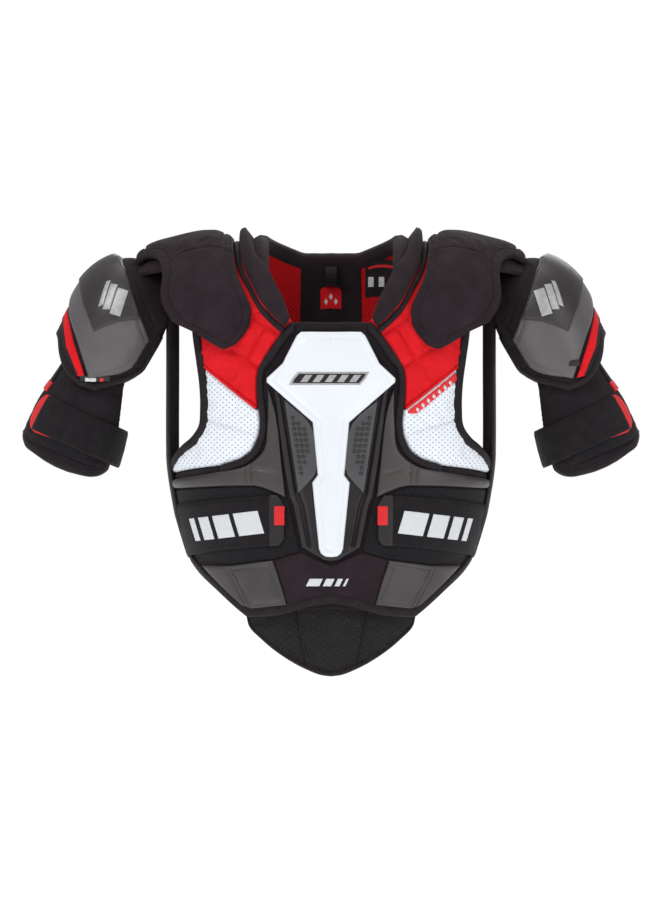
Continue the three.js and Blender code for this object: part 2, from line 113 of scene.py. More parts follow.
def densify(path, step=3.0, closed=True):
    """The same straight-sided path with a point at least every step."""
    path = np.array(path, float)
    ends = np.vstack([path[1:], path[:1]]) if closed else path[1:]
    starts = path if closed else path[:-1]
    out = []
    for a, b in zip(starts, ends):
        n = max(1, int(math.ceil(np.linalg.norm(b - a) / step)))
        out.extend(a + (b - a) * (np.arange(n) / n)[:, None])
    if not closed:
        out.append(path[-1])
    return np.array(out)


def flow(path, closed=False, corner=38.0, per=6):
    """A smooth path through the points, which stays sharp where it turns by more than corner degrees."""
    p = np.array(path, float)
    n = len(p)
    if n < 3:
        return p
    tangent = np.zeros_like(p)
    sharp = np.zeros(n, bool)
    for i in range(n):
        if not closed and i in (0, n - 1):
            sharp[i] = True
            continue
        a, b = p[i] - p[i - 1], p[(i + 1) % n] - p[i]
        la, lb = np.linalg.norm(a), np.linalg.norm(b)
        turn = math.degrees(math.acos(np.clip(a @ b / (la * lb), -1, 1)))
        sharp[i] = turn > corner
        tangent[i] = (a / la * lb + b / lb * la) / (la + lb)
    out = []
    for i in range(n if closed else n - 1):
        j = (i + 1) % n
        chord = p[j] - p[i]
        length = np.linalg.norm(chord)
        m0 = chord if sharp[i] else tangent[i] * length
        m1 = chord if sharp[j] else tangent[j] * length
        for t in np.arange(per) / per:
            t2, t3 = t * t, t * t * t
            out.append(
                (2 * t3 - 3 * t2 + 1) * p[i] + (t3 - 2 * t2 + t) * m0
                + (3 * t2 - 2 * t3) * p[j] + (t3 - t2) * m1
            )
    if not closed:
        out.append(p[-1])
    return np.array(out)


def even(path, step=2.0, closed=False):
    """Points at equal steps along a path."""
    p = np.array(path, float)
    if closed:
        p = np.vstack([p, p[:1]])
    lengths = np.linalg.norm(np.diff(p, axis=0), axis=1)
    keep = np.concatenate([[True], lengths > 1e-6])
    p = p[keep]
    s = np.concatenate([[0], np.cumsum(np.linalg.norm(np.diff(p, axis=0), axis=1))])
    n = max(2, int(round(s[-1] / step)))
    at = np.linspace(0, s[-1], n + 1)
    if closed:
        at = at[:-1]
    return np.stack([np.interp(at, s, p[:, k]) for k in range(p.shape[1])], axis=1)


def both_sides(half):
    """A half outline from the middle at the top to the middle at the bottom, with its mirror image."""
    half = [tuple(p) for p in half]
    return half + [(-x, z) for x, z in reversed(half) if x > 0.01]


def distance(points, path, closed=True):
    """Shortest distance from each point to a path."""
    a = np.array(path, float)
    b = np.roll(a, -1, axis=0) if closed else a[1:]
    a = a if closed else a[:-1]
    best = np.full(len(points), 1e9)
    for start in range(0, len(points), 2000):
        p = points[start:start + 2000, None, :]
        ab = (b - a)[None]
        t = ((p - a[None]) * ab).sum(2) / np.maximum((ab * ab).sum(2), 1e-12)
        gap = p - (a[None] + np.clip(t, 0, 1)[..., None] * ab)
        best[start:start + 2000] = np.sqrt((gap * gap).sum(2)).min(1)
    return best


def inside(points, outline):
    """Which points lie inside a closed outline."""
    x, y = points[:, 0], points[:, 1]
    result = np.zeros(len(points), bool)
    a = np.array(outline, float)
    b = np.roll(a, -1, axis=0)
    for (x0, y0), (x1, y1) in zip(a, b):
        if y0 == y1:
            continue
        crosses = (y0 > y) != (y1 > y)
        result ^= crosses & (x < (x1 - x0) * (y - y0) / (y1 - y0) + x0)
    return result


def area(outline):
    """Signed area, positive for an outline that runs anticlockwise."""
    x, y = np.array(outline, float).T
    return 0.5 * float(np.sum(x * np.roll(y, -1) - y * np.roll(x, -1)))


# ---------------- the surfaces the pieces follow
CHEST_DEPTH = 116.0
SPRING_Z = -130.0
ARCH_LENGTH = 165.0
TOP_V = SPRING_Z + ARCH_LENGTH
WIDEST = 184.0
ROUND = 2 / 2.4
ARCH = 2 / 2.2
NEARLY_SIDE = 0.9982  # a guess stops just short of the torso's side
half_width = spline([
    [-520, 135], [-450, 142], [-400, 150], [-357, 160], [-330, 168],
    [-309, 174], [-285, 178.5], [-263, 182], [-240, 184], [-130, 184]])
shoulder = spline([
    [0, 60], [40, 50], [70, 24], [85, 9.5], [100, 3.3], [115, 0],
    [130, -3.3], [145, -9], [160, -16], [184, -32]])
TURNS = np.linspace(0, math.pi / 2, 2001)
ARCS = np.concatenate([[0], np.cumsum(np.hypot(
    np.diff(WIDEST * np.sin(TURNS) ** ROUND), np.diff(CHEST_DEPTH * np.cos(TURNS) ** ROUND)))])


def torso(u, v):
    """u runs round from the middle of the front, v up the front, over the shoulder and down the back."""
    turn = np.interp(np.abs(u), ARCS, TURNS)
    side = np.sign(u) * np.sin(turn) ** ROUND
    depth = CHEST_DEPTH * np.cos(turn) ** ROUND
    facing = np.where(v < TOP_V, -1.0, 1.0)
    w = np.where(v < TOP_V, v, 2 * TOP_V - v)
    x_wall = side * half_width(w)
    x_arch = side * WIDEST
    angle = np.clip(1 - (w - SPRING_Z) / ARCH_LENGTH, 0, 1) * math.pi / 2
    rise = shoulder(np.abs(x_arch)) - SPRING_Z
    wall = w <= SPRING_Z
    x = np.where(wall, x_wall, x_arch)
    y = facing * depth * np.where(wall, 1.0, np.sin(angle) ** ARCH)
    z = np.where(wall, w, SPRING_Z + rise * np.cos(angle) ** ARCH)
    return np.stack([x, y, z], axis=1)


cap_top = spline([[96, 4], [118, 11], [132, 18], [146, 20], [180, 13], [214, 4], [236, -9]])
cap_front = spline([[96, 110], [130, 112], [165, 106], [205, 90], [236, 74]])
cap_back = spline([[96, 120], [130, 122], [165, 112], [205, 92], [236, 74]])
CAP_SPRING = -80.0
CAP_ARC = 150.0
CAP_ROUND = 2 / 2.3
CAP_HANG = 100.0  # how far the cap's surface hangs straight down over one more arc


def cap(u, v):
    """A shoulder cap: u runs outwards along the shoulder, v from the front over the top to the back."""
    down = np.abs(v) / CAP_ARC
    reach = np.where(v < 0, cap_front(u), cap_back(u))
    angle = np.minimum(down, 1) * math.pi / 2
    y = np.sign(v) * reach * np.sin(angle) ** CAP_ROUND
    z = CAP_SPRING + (cap_top(u) - CAP_SPRING) * np.cos(angle) ** CAP_ROUND
    return np.stack([u, y, z - np.maximum(0, down - 1) * CAP_HANG], axis=1)


ARM_CENTRE, ARM_TILT = (257.6, 0.0, -80.5), 30.0
WRAP_CENTRE, WRAP_TILT = (302.8, 0.0, -194.0), 20.0
upper_across = spline([[-95, 49], [-60, 51], [0, 53]])
upper_depth = spline([[-95, 54], [-60, 59], [0, 64]])
lower_across = spline([[-66, 52], [-40, 51], [0, 47], [30, 39], [60, 31.5]])
lower_depth = spline([[-66, 52], [-40, 52], [0, 48], [30, 43], [60, 38]])
DOME = 74.0
DOME_ARC = 92.0
DOME_POWER = 2.2
DOME_STOP = 80  # no outline reaches further up the dome
ARM_ARC = 58.0  # length along u for one radian round the arm


def tilted(points, centre, tilt):
    """Turns points about the y axis by tilt degrees and moves them to a centre."""
    c, s = math.cos(math.radians(tilt)), math.sin(math.radians(tilt))
    x, y, z = points.T
    return np.stack([centre[0] + x * c - z * s, centre[1] + y, centre[2] + x * s + z * c], axis=1)


def upper_local(u, v):
    """The upper arm's dome: u runs round it (the front is negative), v up it and over the dome."""
    around = -u / ARM_ARC
    lift = np.clip(v / DOME_ARC, 0, 1) * math.pi / 2
    up = np.where(v > 0, DOME * np.sin(lift) ** (2 / DOME_POWER), v)
    close = np.where(v > 0, np.cos(lift) ** (2 / DOME_POWER), 1.0)
    return np.stack([
        upper_across(up) * close * np.cos(around), -upper_depth(up) * close * np.sin(around), up], axis=1)


def upper(u, v):
    """The upper arm in the row frame."""
    return tilted(upper_local(u, v), ARM_CENTRE, ARM_TILT)


def lower_local(u, v):
    """The cuff round the forearm, with u and v as on the upper arm."""
    around = -u / ARM_ARC
    return np.stack([lower_across(v) * np.cos(around), -lower_depth(v) * np.sin(around), v], axis=1)


def lower(u, v):
    return tilted(lower_local(u, v), WRAP_CENTRE, WRAP_TILT)


def lifted(surface, uv, height, step=0.25):
    """Points at a height above a surface, along its normal."""
    u, v = uv[:, 0], uv[:, 1]
    du = surface(u + step, v) - surface(u - step, v)
    dv = surface(u, v + step) - surface(u, v - step)
    n = np.cross(du, dv)
    n /= np.maximum(np.linalg.norm(n, axis=1), 1e-9)[:, None]
    return surface(u, v) + n * np.broadcast_to(height, len(uv))[:, None]


def aimed(guess, surface, path, depth):
    """Corrects a guess at the u, v of a path, so that it lies where it should seen from the front."""
    rounds, share, most = 5, 0.8, 7
    target = np.array(path, float)
    aim = target.copy()
    for _ in range(rounds):
        found = lifted(surface, guess(aim, depth), depth)[:, [0, 2]]
        aim += share * np.clip(target - found, -most, most)
    return guess(aim, depth)


def on_front(path, depth=13.0):
    """Torso coordinates of a path seen from the front."""
    return aimed(torso_guess, torso, path, depth)


def torso_guess(outline, depth):
    """A first guess at the torso's u, v, from the width of the wall and the rise of the shoulder."""
    x, z = np.array(outline, float).T
    half = np.where(z < SPRING_Z, half_width(z), WIDEST) + depth
    turn = np.arcsin(np.clip(np.abs(x) / half, 0, NEARLY_SIDE) ** (1 / ROUND))
    rise = shoulder(np.abs(x)) - SPRING_Z + depth
    t = np.clip((z - SPRING_Z) / rise, 0, 1)
    drop = np.arccos(t ** (1 / ARCH)) / (math.pi / 2)
    v = np.where(z < SPRING_Z, z, SPRING_Z + ARCH_LENGTH * (1 - drop))
    return np.stack([np.sign(x) * np.interp(turn, TURNS, ARCS), v], axis=1)


def on_back(path, depth=13.0):
    """Torso coordinates on the back, of a path given as it would be seen through from the front."""
    return aimed(back_guess, torso, path, depth)


def back_guess(outline, depth):
    return torso_guess(outline, depth) * (1, -1) + (0, 2 * TOP_V)


def on_cap(path, depth=9.0, back=False):
    """Cap coordinates of a path on its front or its back."""
    return aimed(lambda p, height: cap_guess(p, height, back), cap, path, depth)


def cap_guess(outline, depth, back):
    """A first guess at the cap's u, v, from the height of its top."""
    x, z = np.array(outline, float).T
    rise = cap_top(x) - CAP_SPRING + depth
    t = np.clip((z - CAP_SPRING) / rise, 0, 1)
    swing = np.arccos(t ** (1 / CAP_ROUND)) / (math.pi / 2) + np.maximum(0, CAP_SPRING - z) / CAP_HANG
    return np.stack([x, (1 if back else -1) * swing * CAP_ARC], axis=1)


def on_upper(path, depth=10.0, widest=156.0):
    """Dome coordinates of a path on its front, given in the arm's own x and z. The back mirrors u."""
    uv = aimed(upper_guess, upper_local, path, depth)
    uv[:, 0] = np.maximum(uv[:, 0], -math.radians(widest) * ARM_ARC)
    uv[:, 1] = np.minimum(uv[:, 1], DOME_STOP)
    return uv


def upper_guess(path, depth):
    """A first guess at the dome's u, v."""
    x, up = np.array(path, float).T
    lift = np.arcsin(np.clip(up / (DOME + depth), 0, 0.97) ** (DOME_POWER / 2))
    v = np.where(up > 0, lift / (math.pi / 2) * DOME_ARC, up)
    close = np.where(up > 0, np.cos(lift) ** (2 / DOME_POWER), 1.0)
    around = np.arccos(np.clip(x / ((upper_across(np.minimum(up, 0)) + depth) * close), -1, 1))
    return np.stack([-around * ARM_ARC, v], axis=1)


def on_lower(path, depth=9.0, widest=150.0):
    """The same for the cuff."""
    uv = aimed(lower_guess, lower_local, path, depth)
    uv[:, 0] = np.maximum(uv[:, 0], -math.radians(widest) * ARM_ARC)
    return uv


def lower_guess(path, depth):
    """A first guess at the cuff's u, v."""
    x, up = np.array(path, float).T
    around = np.arccos(np.clip(x / (lower_across(up) + depth), -1, 1))
    return np.stack([-around * ARM_ARC, up], axis=1)


def front_and_back(path):
    """A closed outline from a path in u, v whose ends lie on the outer edge, and its mirror image."""
    return np.vstack([path, path[::-1] * (-1, 1)])


def carried_over(path):
    """A path in u, v that ends in the middle, carried on along its mirror image."""
    return np.vstack([path, (path * (-1, 1))[::-1][1:]])


def line_on(mapping, path, *limits):
    """A straight-sided line, laid on a surface. limits are the mapping's depth and widest angle."""
    return mapping(densify(path, 3, closed=False), *limits)


def lines_on(mapping, width, depth, *paths):
    """Several such lines, each with a width and depth, as panel takes them."""
    return [(line_on(mapping, path), width, depth) for path in paths]


# ---------------- meshes
ROW_STEP = 0.866  # distance between the rows of a triangular grid with sides of 1
RIM_ROWS = (0.12, 0.35, 0.7)  # rows of points inside a pad's rim, as shares of its rounding
SEAM_ROWS = (-1.6, -0.7, 0.0, 0.7, 1.6)  # rows of points beside a sewn line, in half widths
CLOTH_FRAMES = 16


def make(name, points, faces, material, uv=None):
    """A smooth-shaded object from points in millimetres. uv gives each point its texture place."""
    mesh = bpy.data.meshes.new(name)
    mesh.from_pydata((np.asarray(points) * MM).tolist(), [], [list(map(int, f)) for f in faces])
    if uv is not None:
        corners = np.empty(len(mesh.loops), int)
        mesh.loops.foreach_get("vertex_index", corners)
        layer = mesh.uv_layers.new(name="UVMap")
        layer.data.foreach_set("uv", (np.asarray(uv)[corners] * MM).ravel())
    mesh.polygons.foreach_set("use_smooth", [True] * len(mesh.polygons))
    mesh.update()
    obj = add(name, mesh)
    mesh.materials.append(MATERIALS[material])
    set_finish(obj, SLOT_OF.get(material, material))
    fix_winding(obj)
    return obj


def fill(outline, extra):
    """Triangles over an outline and the points inside it. Gives points, triangles and the rim's order."""
    count = len(outline)
    verts = [Vector(p) for p in np.vstack([outline, extra])]
    edges = [(i, (i + 1) % count) for i in range(count)]
    found = delaunay_2d_cdt(verts, edges, [], 1, 1e-4)
    points = np.array([tuple(p) for p in found[0]])
    tris = np.array([f for f in found[2] if len(f) == 3], int)
    a, b, c = points[tris[:, 0]], points[tris[:, 1]], points[tris[:, 2]]
    signed = np.cross(b - a, c - a)
    tris = tris[np.abs(signed) > 1e-9]
    signed = signed[np.abs(signed) > 1e-9]
    tris[signed < 0] = tris[signed < 0][:, ::-1]
    place = {}
    for new, olds in enumerate(found[3]):
        for old in olds:
            place[old] = new
    rim = []
    for i in range(count):
        if not rim or rim[-1] != place[i]:
            rim.append(place[i])
    return points, tris, rim


def hexagons(outline, step):
    """Points of a triangular grid over an outline's box."""
    lo, hi = outline.min(0), outline.max(0)
    rows = np.arange(lo[1], hi[1] + step, step * ROW_STEP)
    points = []
    for k, y in enumerate(rows):
        xs = np.arange(lo[0] + (k % 2) * step / 2, hi[0] + step, step)
        points.append(np.stack([xs, np.full(len(xs), y)], axis=1))
    return np.vstack(points)


def beside(path, gap, closed=False):
    """A path shifted sideways, to the left of its direction."""
    p = np.array(path, float)
    ahead = np.roll(p, -1, axis=0) - p
    behind = p - np.roll(p, 1, axis=0)
    if not closed:
        ahead[-1] = behind[-1]
        behind[0] = ahead[0]
    a = ahead / np.maximum(np.linalg.norm(ahead, axis=1), 1e-9)[:, None]
    b = behind / np.maximum(np.linalg.norm(behind, axis=1), 1e-9)[:, None]
    t = a + b
    t /= np.maximum(np.linalg.norm(t, axis=1), 1e-9)[:, None]
    stretch = 1 / np.clip((t * a).sum(1), 0.55, 1)
    return p + np.stack([-t[:, 1], t[:, 0]], axis=1) * (gap * stretch)[:, None]


def panel(name, surface, outline, base, thick, material, step=3.0, edge=3.0, rim=0.35, crown=0.0,
          reach=14.0, seams=(), waves=0.0, puffed=0.0, folds=0.0):
    """A closed pad over an outline in u, v: rounded edges, a crown and sewn or moulded lines.

    base is the height of its underside and thick what stands over it. edge is the width of the rounding,
    rim the share of the thickness left at the outline, and reach how far in the crown rises.
    seams are (path, width, depth); a negative depth stands proud. puffed is the most that the cloth
    simulation may move it.
    """
    outline = np.array(outline, float)
    if area(outline) < 0:
        outline = outline[::-1]
    outline = densify(outline, step)
    groups = [(beside(outline, edge * share, closed=True), edge * share * 0.95) for share in RIM_ROWS]
    for path, width, _ in seams:
        line = even(path, max(1.2, min(step, width * 1.3)))
        groups += [(beside(line, shift * width * 0.5), edge * 0.5) for shift in SEAM_ROWS]
    extra = []
    for points, off in groups:
        points = points[inside(points, outline)]
        extra.append(points[distance(points, outline) > off])
    grid = hexagons(outline, step)
    grid = grid[inside(grid, outline)]
    grid = grid[distance(grid, outline) > max(edge, step * 0.6)]
    for path, width, _ in seams:
        grid = grid[distance(grid, path, closed=False) > width * 0.8 + step * 0.4]
    points, tris, border = fill(outline, np.vstack([grid] + extra))
    d = distance(points, outline)
    curve = np.sqrt(np.clip(1 - (1 - np.clip(d / edge, 0, 1)) ** 2, 0, 1))
    height = thick * (rim + (1 - rim) * curve) + crown * (1 - np.exp(-d / reach))
    for path, width, depth in seams:
        gap = distance(points, path, closed=False)
        height -= depth * np.exp(-(gap / (width * 0.6)) ** 2) * np.clip(d / edge, 0, 1)
    if waves:
        height += waves * ripple(points) * np.clip(d / (edge * 2), 0, 1)
    height[border] = thick * rim
    top = lifted(surface, points, base + height)
    under = lifted(surface, points, np.full(len(points), base))
    a, b, c = (under[np.array(tris)[:, k]] for k in range(3))
    cut = np.linalg.norm(np.cross(b - a, c - a), axis=1).sum() / 2
    spread = math.sqrt(cut / area(outline))
    FLAT[name] = [*(np.ptp(outline, axis=0) * spread * MM), cut * MM * MM]
    n = len(points)
    faces = [tuple(t) for t in tris] + [tuple(n + t[::-1]) for t in tris]
    for i, a in enumerate(border):
        b = border[(i + 1) % len(border)]
        faces.append((b, a, n + a, n + b))
    obj = make(name, np.vstack([top, under]), faces, material, np.vstack([points, points]))
    if puffed:
        fixed = np.ones(2 * n, bool)
        fixed[:n] = d < edge * 0.5
        for path, width, depth in seams:
            if depth > 0:
                fixed[:n] |= distance(points, path, closed=False) < width * 0.5
        puff(obj, fixed, puffed, folds)
    return obj


def ripple(points, scale=0.055):
    """A small smooth irregularity, the same on every run."""
    x, y = points[:, 0] * scale, points[:, 1] * scale
    return (np.sin(1.7 * x + 2.3 * np.sin(0.9 * y)) + np.sin(2.1 * y + 1.9 * np.sin(1.1 * x + 0.7))
            + 0.6 * np.sin(3.7 * x - 2.9 * y + 1.3)) / 2.6


def puff(obj, fixed, most, folds):
    """Blows fabric up a little by a short cloth simulation, with its rim and seams held.

    most is the furthest that a point may move, and folds the slack that the cloth is given.
    """
    mesh = obj.data
    start = coords(mesh)
    group = obj.vertex_groups.new(name="held")
    group.add([int(i) for i in np.where(fixed)[0]], 1.0, "REPLACE")
    cloth = obj.modifiers.new("Cloth", "CLOTH")
    s = cloth.settings
    s.quality = 4
    s.mass = 0.15
    s.tension_stiffness = s.compression_stiffness = 12
    s.shear_stiffness = 6
    s.bending_stiffness = 0.4
    s.vertex_group_mass = "held"
    s.use_pressure = True
    s.uniform_pressure_force = 4.0
    s.shrink_min = s.shrink_max = -folds
    s.effector_weights.gravity = 0
    cloth.collision_settings.use_collision = False
    for number in range(1, CLOTH_FRAMES + 1):
        SCENE.frame_set(number)
    seen = obj.evaluated_get(bpy.context.evaluated_depsgraph_get())
    end = coords(seen.data)
    obj.modifiers.remove(cloth)
    obj.vertex_groups.clear()
    SCENE.frame_set(1)
    move = np.nan_to_num(end - start)
    length = np.linalg.norm(move, axis=1)
    limit = most * MM
    move *= (limit * np.tanh(length / limit) / np.maximum(length, 1e-9))[:, None]
    mesh.vertices.foreach_set("co", (start + move).ravel())
    mesh.update()


def sweep(name, surface, path, profile, material, closed=False, step=2.5, taper=None, rise=None):
    """A tape with a closed profile [(across, height), ...] along a path in u, v.

    across is measured to the right of the path's direction. taper scales the width along the path,
    and rise the height above the profile's lowest point.
    """
    line = even(path, step, closed)
    count, sides = len(line), len(profile)
    share = np.linspace(0, 1, count)
    wide = np.ones(count) if taper is None else taper(share)
    tall = np.ones(count) if rise is None else rise(share)
    low = min(height for _, height in profile)
    rows, flat = [], []
    along = np.arange(count) * step
    around = np.cumsum([0] + [math.dist(a, b) for a, b in zip(profile, profile[1:])])
    for (across, height), far in zip(profile, around):
        rows.append(lifted(surface, beside(line, -across * wide, closed), low + (height - low) * tall))
        flat.append(np.stack([along, np.full(count, far)], axis=1))
    points = np.stack(rows, axis=1).reshape(-1, 3)
    uv = np.stack(flat, axis=1).reshape(-1, 2)
    faces = []
    for i in range(count if closed else count - 1):
        j = (i + 1) % count
        for k in range(sides):
            m = (k + 1) % sides
            faces.append((i * sides + k, j * sides + k, j * sides + m, i * sides + m))
    if not closed:
        faces.append(tuple(range(sides)))
        faces.append(tuple(reversed([(count - 1) * sides + k for k in range(sides)])))
    return make(name, points, faces, material, uv)


def fix_winding(obj):
    """Turns the faces outwards where a mesh has come out inside out."""
    mesh = obj.data
    co = coords(mesh)
    co = co - co.mean(0)
    volume = 0.0
    for face in mesh.polygons:
        v = face.vertices
        for k in range(1, len(v) - 1):
            volume += float(np.dot(co[v[0]], np.cross(co[v[k]], co[v[k + 1]])))
    if volume < 0:
        mesh.flip_normals()


def edge_profile(width, low, high, proud=0.9):
    """Binding tape wrapped over an edge: the path is the edge, and the pad lies to the right of it."""
    top = high + proud
    return [
        (width, high - 0.3), (width - 0.9, top), (width * 0.5, top + 0.25), (1.4, top), (-0.1, high - 0.6),
        (-proud, low + (high - low) * 0.45), (-0.5, low), (width * 0.5, low - 0.2), (width, low - 0.1)]


def binding(name, surface, path, width, low, high, right=True):
    """Binding tape along an edge, with the pad to the right or to the left of the path."""
    profile = edge_profile(width, low, high)
    if not right:
        profile = [(-a, h) for a, h in profile]
    return sweep(name, surface, path, profile, "binding")


def tape(name, surface, path, width, low, thick, material):
    """A flat tape or raised line, centred on its path."""
    w, t = width / 2, thick
    length = np.linalg.norm(np.diff(path, axis=0), axis=1).sum() * MM
    FLAT[name] = [width * MM, length, width * MM * length]
    profile = [(-w, low), (-w, low + t * 0.5), (-w * 0.8, low + t * 0.92), (0, low + t),
               (w * 0.8, low + t * 0.92), (w, low + t * 0.5), (w, low)]
    return sweep(name, surface, path, profile, material)


def stitches(name, surface, path, height, material="thread", length=3.0, gap=1.7, radius=0.34,
             closed=False):
    """A line of sewn stitches, each a small spindle that bows up between its two ends."""
    fine = 0.5
    line = even(path, fine, closed)
    pitch = max(1, int(round((length + gap) / fine)))
    span = max(1, int(round(length / fine)))
    world = lifted(surface, line, np.full(len(line), float(height)))
    above = lifted(surface, line, np.full(len(line), float(height) + 1.0)) - world
    sides = 5
    angles = np.arange(sides) * 2 * math.pi / sides
    points, faces = [], []
    for i in range(0, len(line) - span, pitch):
        a, b, up = world[i], world[i + span], above[i]
        along = b - a
        size = np.linalg.norm(along)
        if size < 1e-6:
            continue
        along = along / size
        side = np.cross(along, up)
        n = len(points)
        points.append(a - up * radius * 0.6)
        for t in (0.22, 0.78):
            centre = a + (b - a) * t + up * radius * 0.55
            for q in angles:
                points.append(centre + (side * math.cos(q) + up * math.sin(q)) * radius)
        points.append(b - up * radius * 0.6)
        for k in range(sides):
            m = (k + 1) % sides
            faces.append((n, n + 1 + m, n + 1 + k))
            faces.append((n + 1 + k, n + 1 + m, n + 1 + sides + m, n + 1 + sides + k))
            faces.append((n + 1 + 2 * sides, n + 1 + sides + k, n + 1 + sides + m))
    return make(name, points, faces, material)


def studs(name, surface, centres, radius, low, tall, material, sides=12):
    """Small round domes, as rings of points from the foot up."""
    rings = [(1.0, 0.0), (1.0, 0.35), (0.86, 0.72), (0.5, 0.95)]
    angles = np.arange(sides) * 2 * math.pi / sides
    points, faces = [], []
    for centre in centres:
        n = len(points)
        for wide, up in rings:
            uv = np.array(centre) + np.stack([np.cos(angles), np.sin(angles)], axis=1) * radius * wide
            points.extend(lifted(surface, uv, np.full(sides, low + tall * up)))
        points.extend(lifted(surface, np.array([centre], float), np.array([low + tall])))
        for r in range(len(rings) - 1):
            for k in range(sides):
                m = (k + 1) % sides
                a, b = n + r * sides, n + (r + 1) * sides
                faces.append((a + k, a + m, b + m, b + k))
        last, tip = n + (len(rings) - 1) * sides, n + len(rings) * sides
        for k in range(sides):
            faces.append((last + k, last + (k + 1) % sides, tip))
        faces.append(tuple(n + k for k in reversed(range(sides))))
    return make(name, points, faces, material)


def mirrored(obj, name):
    """The same piece for the wearer's other side."""
    mesh = obj.data.copy()
    mesh.name = name
    co = coords(mesh)
    co[:, 0] *= -1
    mesh.vertices.foreach_set("co", co.ravel())
    mesh.flip_normals()
    mesh.update()
    twin = add(name, mesh)
    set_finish(twin, obj["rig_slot"])
    return twin


FLAT = {}  # the width, length and area of every panel and tape laid flat, in metres
NARROW = 0.32  # a piece that fills less of its box than this is a narrow curved band


def stem(obj):
    """The piece's name without its side or a number."""
    return obj.name.removeprefix("left_").removeprefix("right_").split(".")[0]


def cloth(obj, held, rests_on):
    """Works out the size that a strap, strip or lining was cut to; nothing is done with it."""
    wide, long, cut = FLAT[stem(obj)]
    if cut < NARROW * wide * long:
        long = max(wide, long)
        wide = cut / long


def right_only(obj, body):
    """Moves a piece made on the wearer's left to the right."""
    twin = mirrored(obj, obj.name)
    bpy.data.objects.remove(obj)
    twin.name = twin.data.name
    place(twin, body)


def stand_for(obj, node):
    """Hides the CAD node that a piece takes the place of."""
    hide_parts(node)
    obj.name = obj.data.name = obj.name.split(".")[0] + "_detail"


def place(obj, body, node=None, fill=None, held=None, rests_on=None):
    if held:
        cloth(obj, held, rests_on)
    if node:
        stand_for(obj, node)
    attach(obj, body)


def pair(obj, body, node=None, fill=None, held=None, rests_on=None):
    """Places a wearer's-left piece and its mirror image. In the names, * is left or right."""
    twin = mirrored(obj, "right_" + obj.name)
    obj.name = obj.data.name = "left_" + obj.name
    for piece, side in ((obj, "left"), (twin, "right")):
        under = rests_on and rests_on.replace("*", side)
        place(piece, body.replace("*", side), node and node.replace("*", side), fill, held, under)


def bridge(obj, rests_on, node=None, both=True):
    """Cloth that lies across two bodies, made on the wearer's left and mirrored if both. It is attached to
    neither body.
    """
    sides = [(obj, "left", 1)]
    if both:
        sides.append((mirrored(obj, "right_" + obj.name), "right", -1))
        obj.name = obj.data.name = "left_" + obj.name
    for piece, side, sign in sides:
        cloth(piece, "stretched", rests_on.replace("*", side))
        if node:
            stand_for(piece, node.replace("*", side))
        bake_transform(piece)


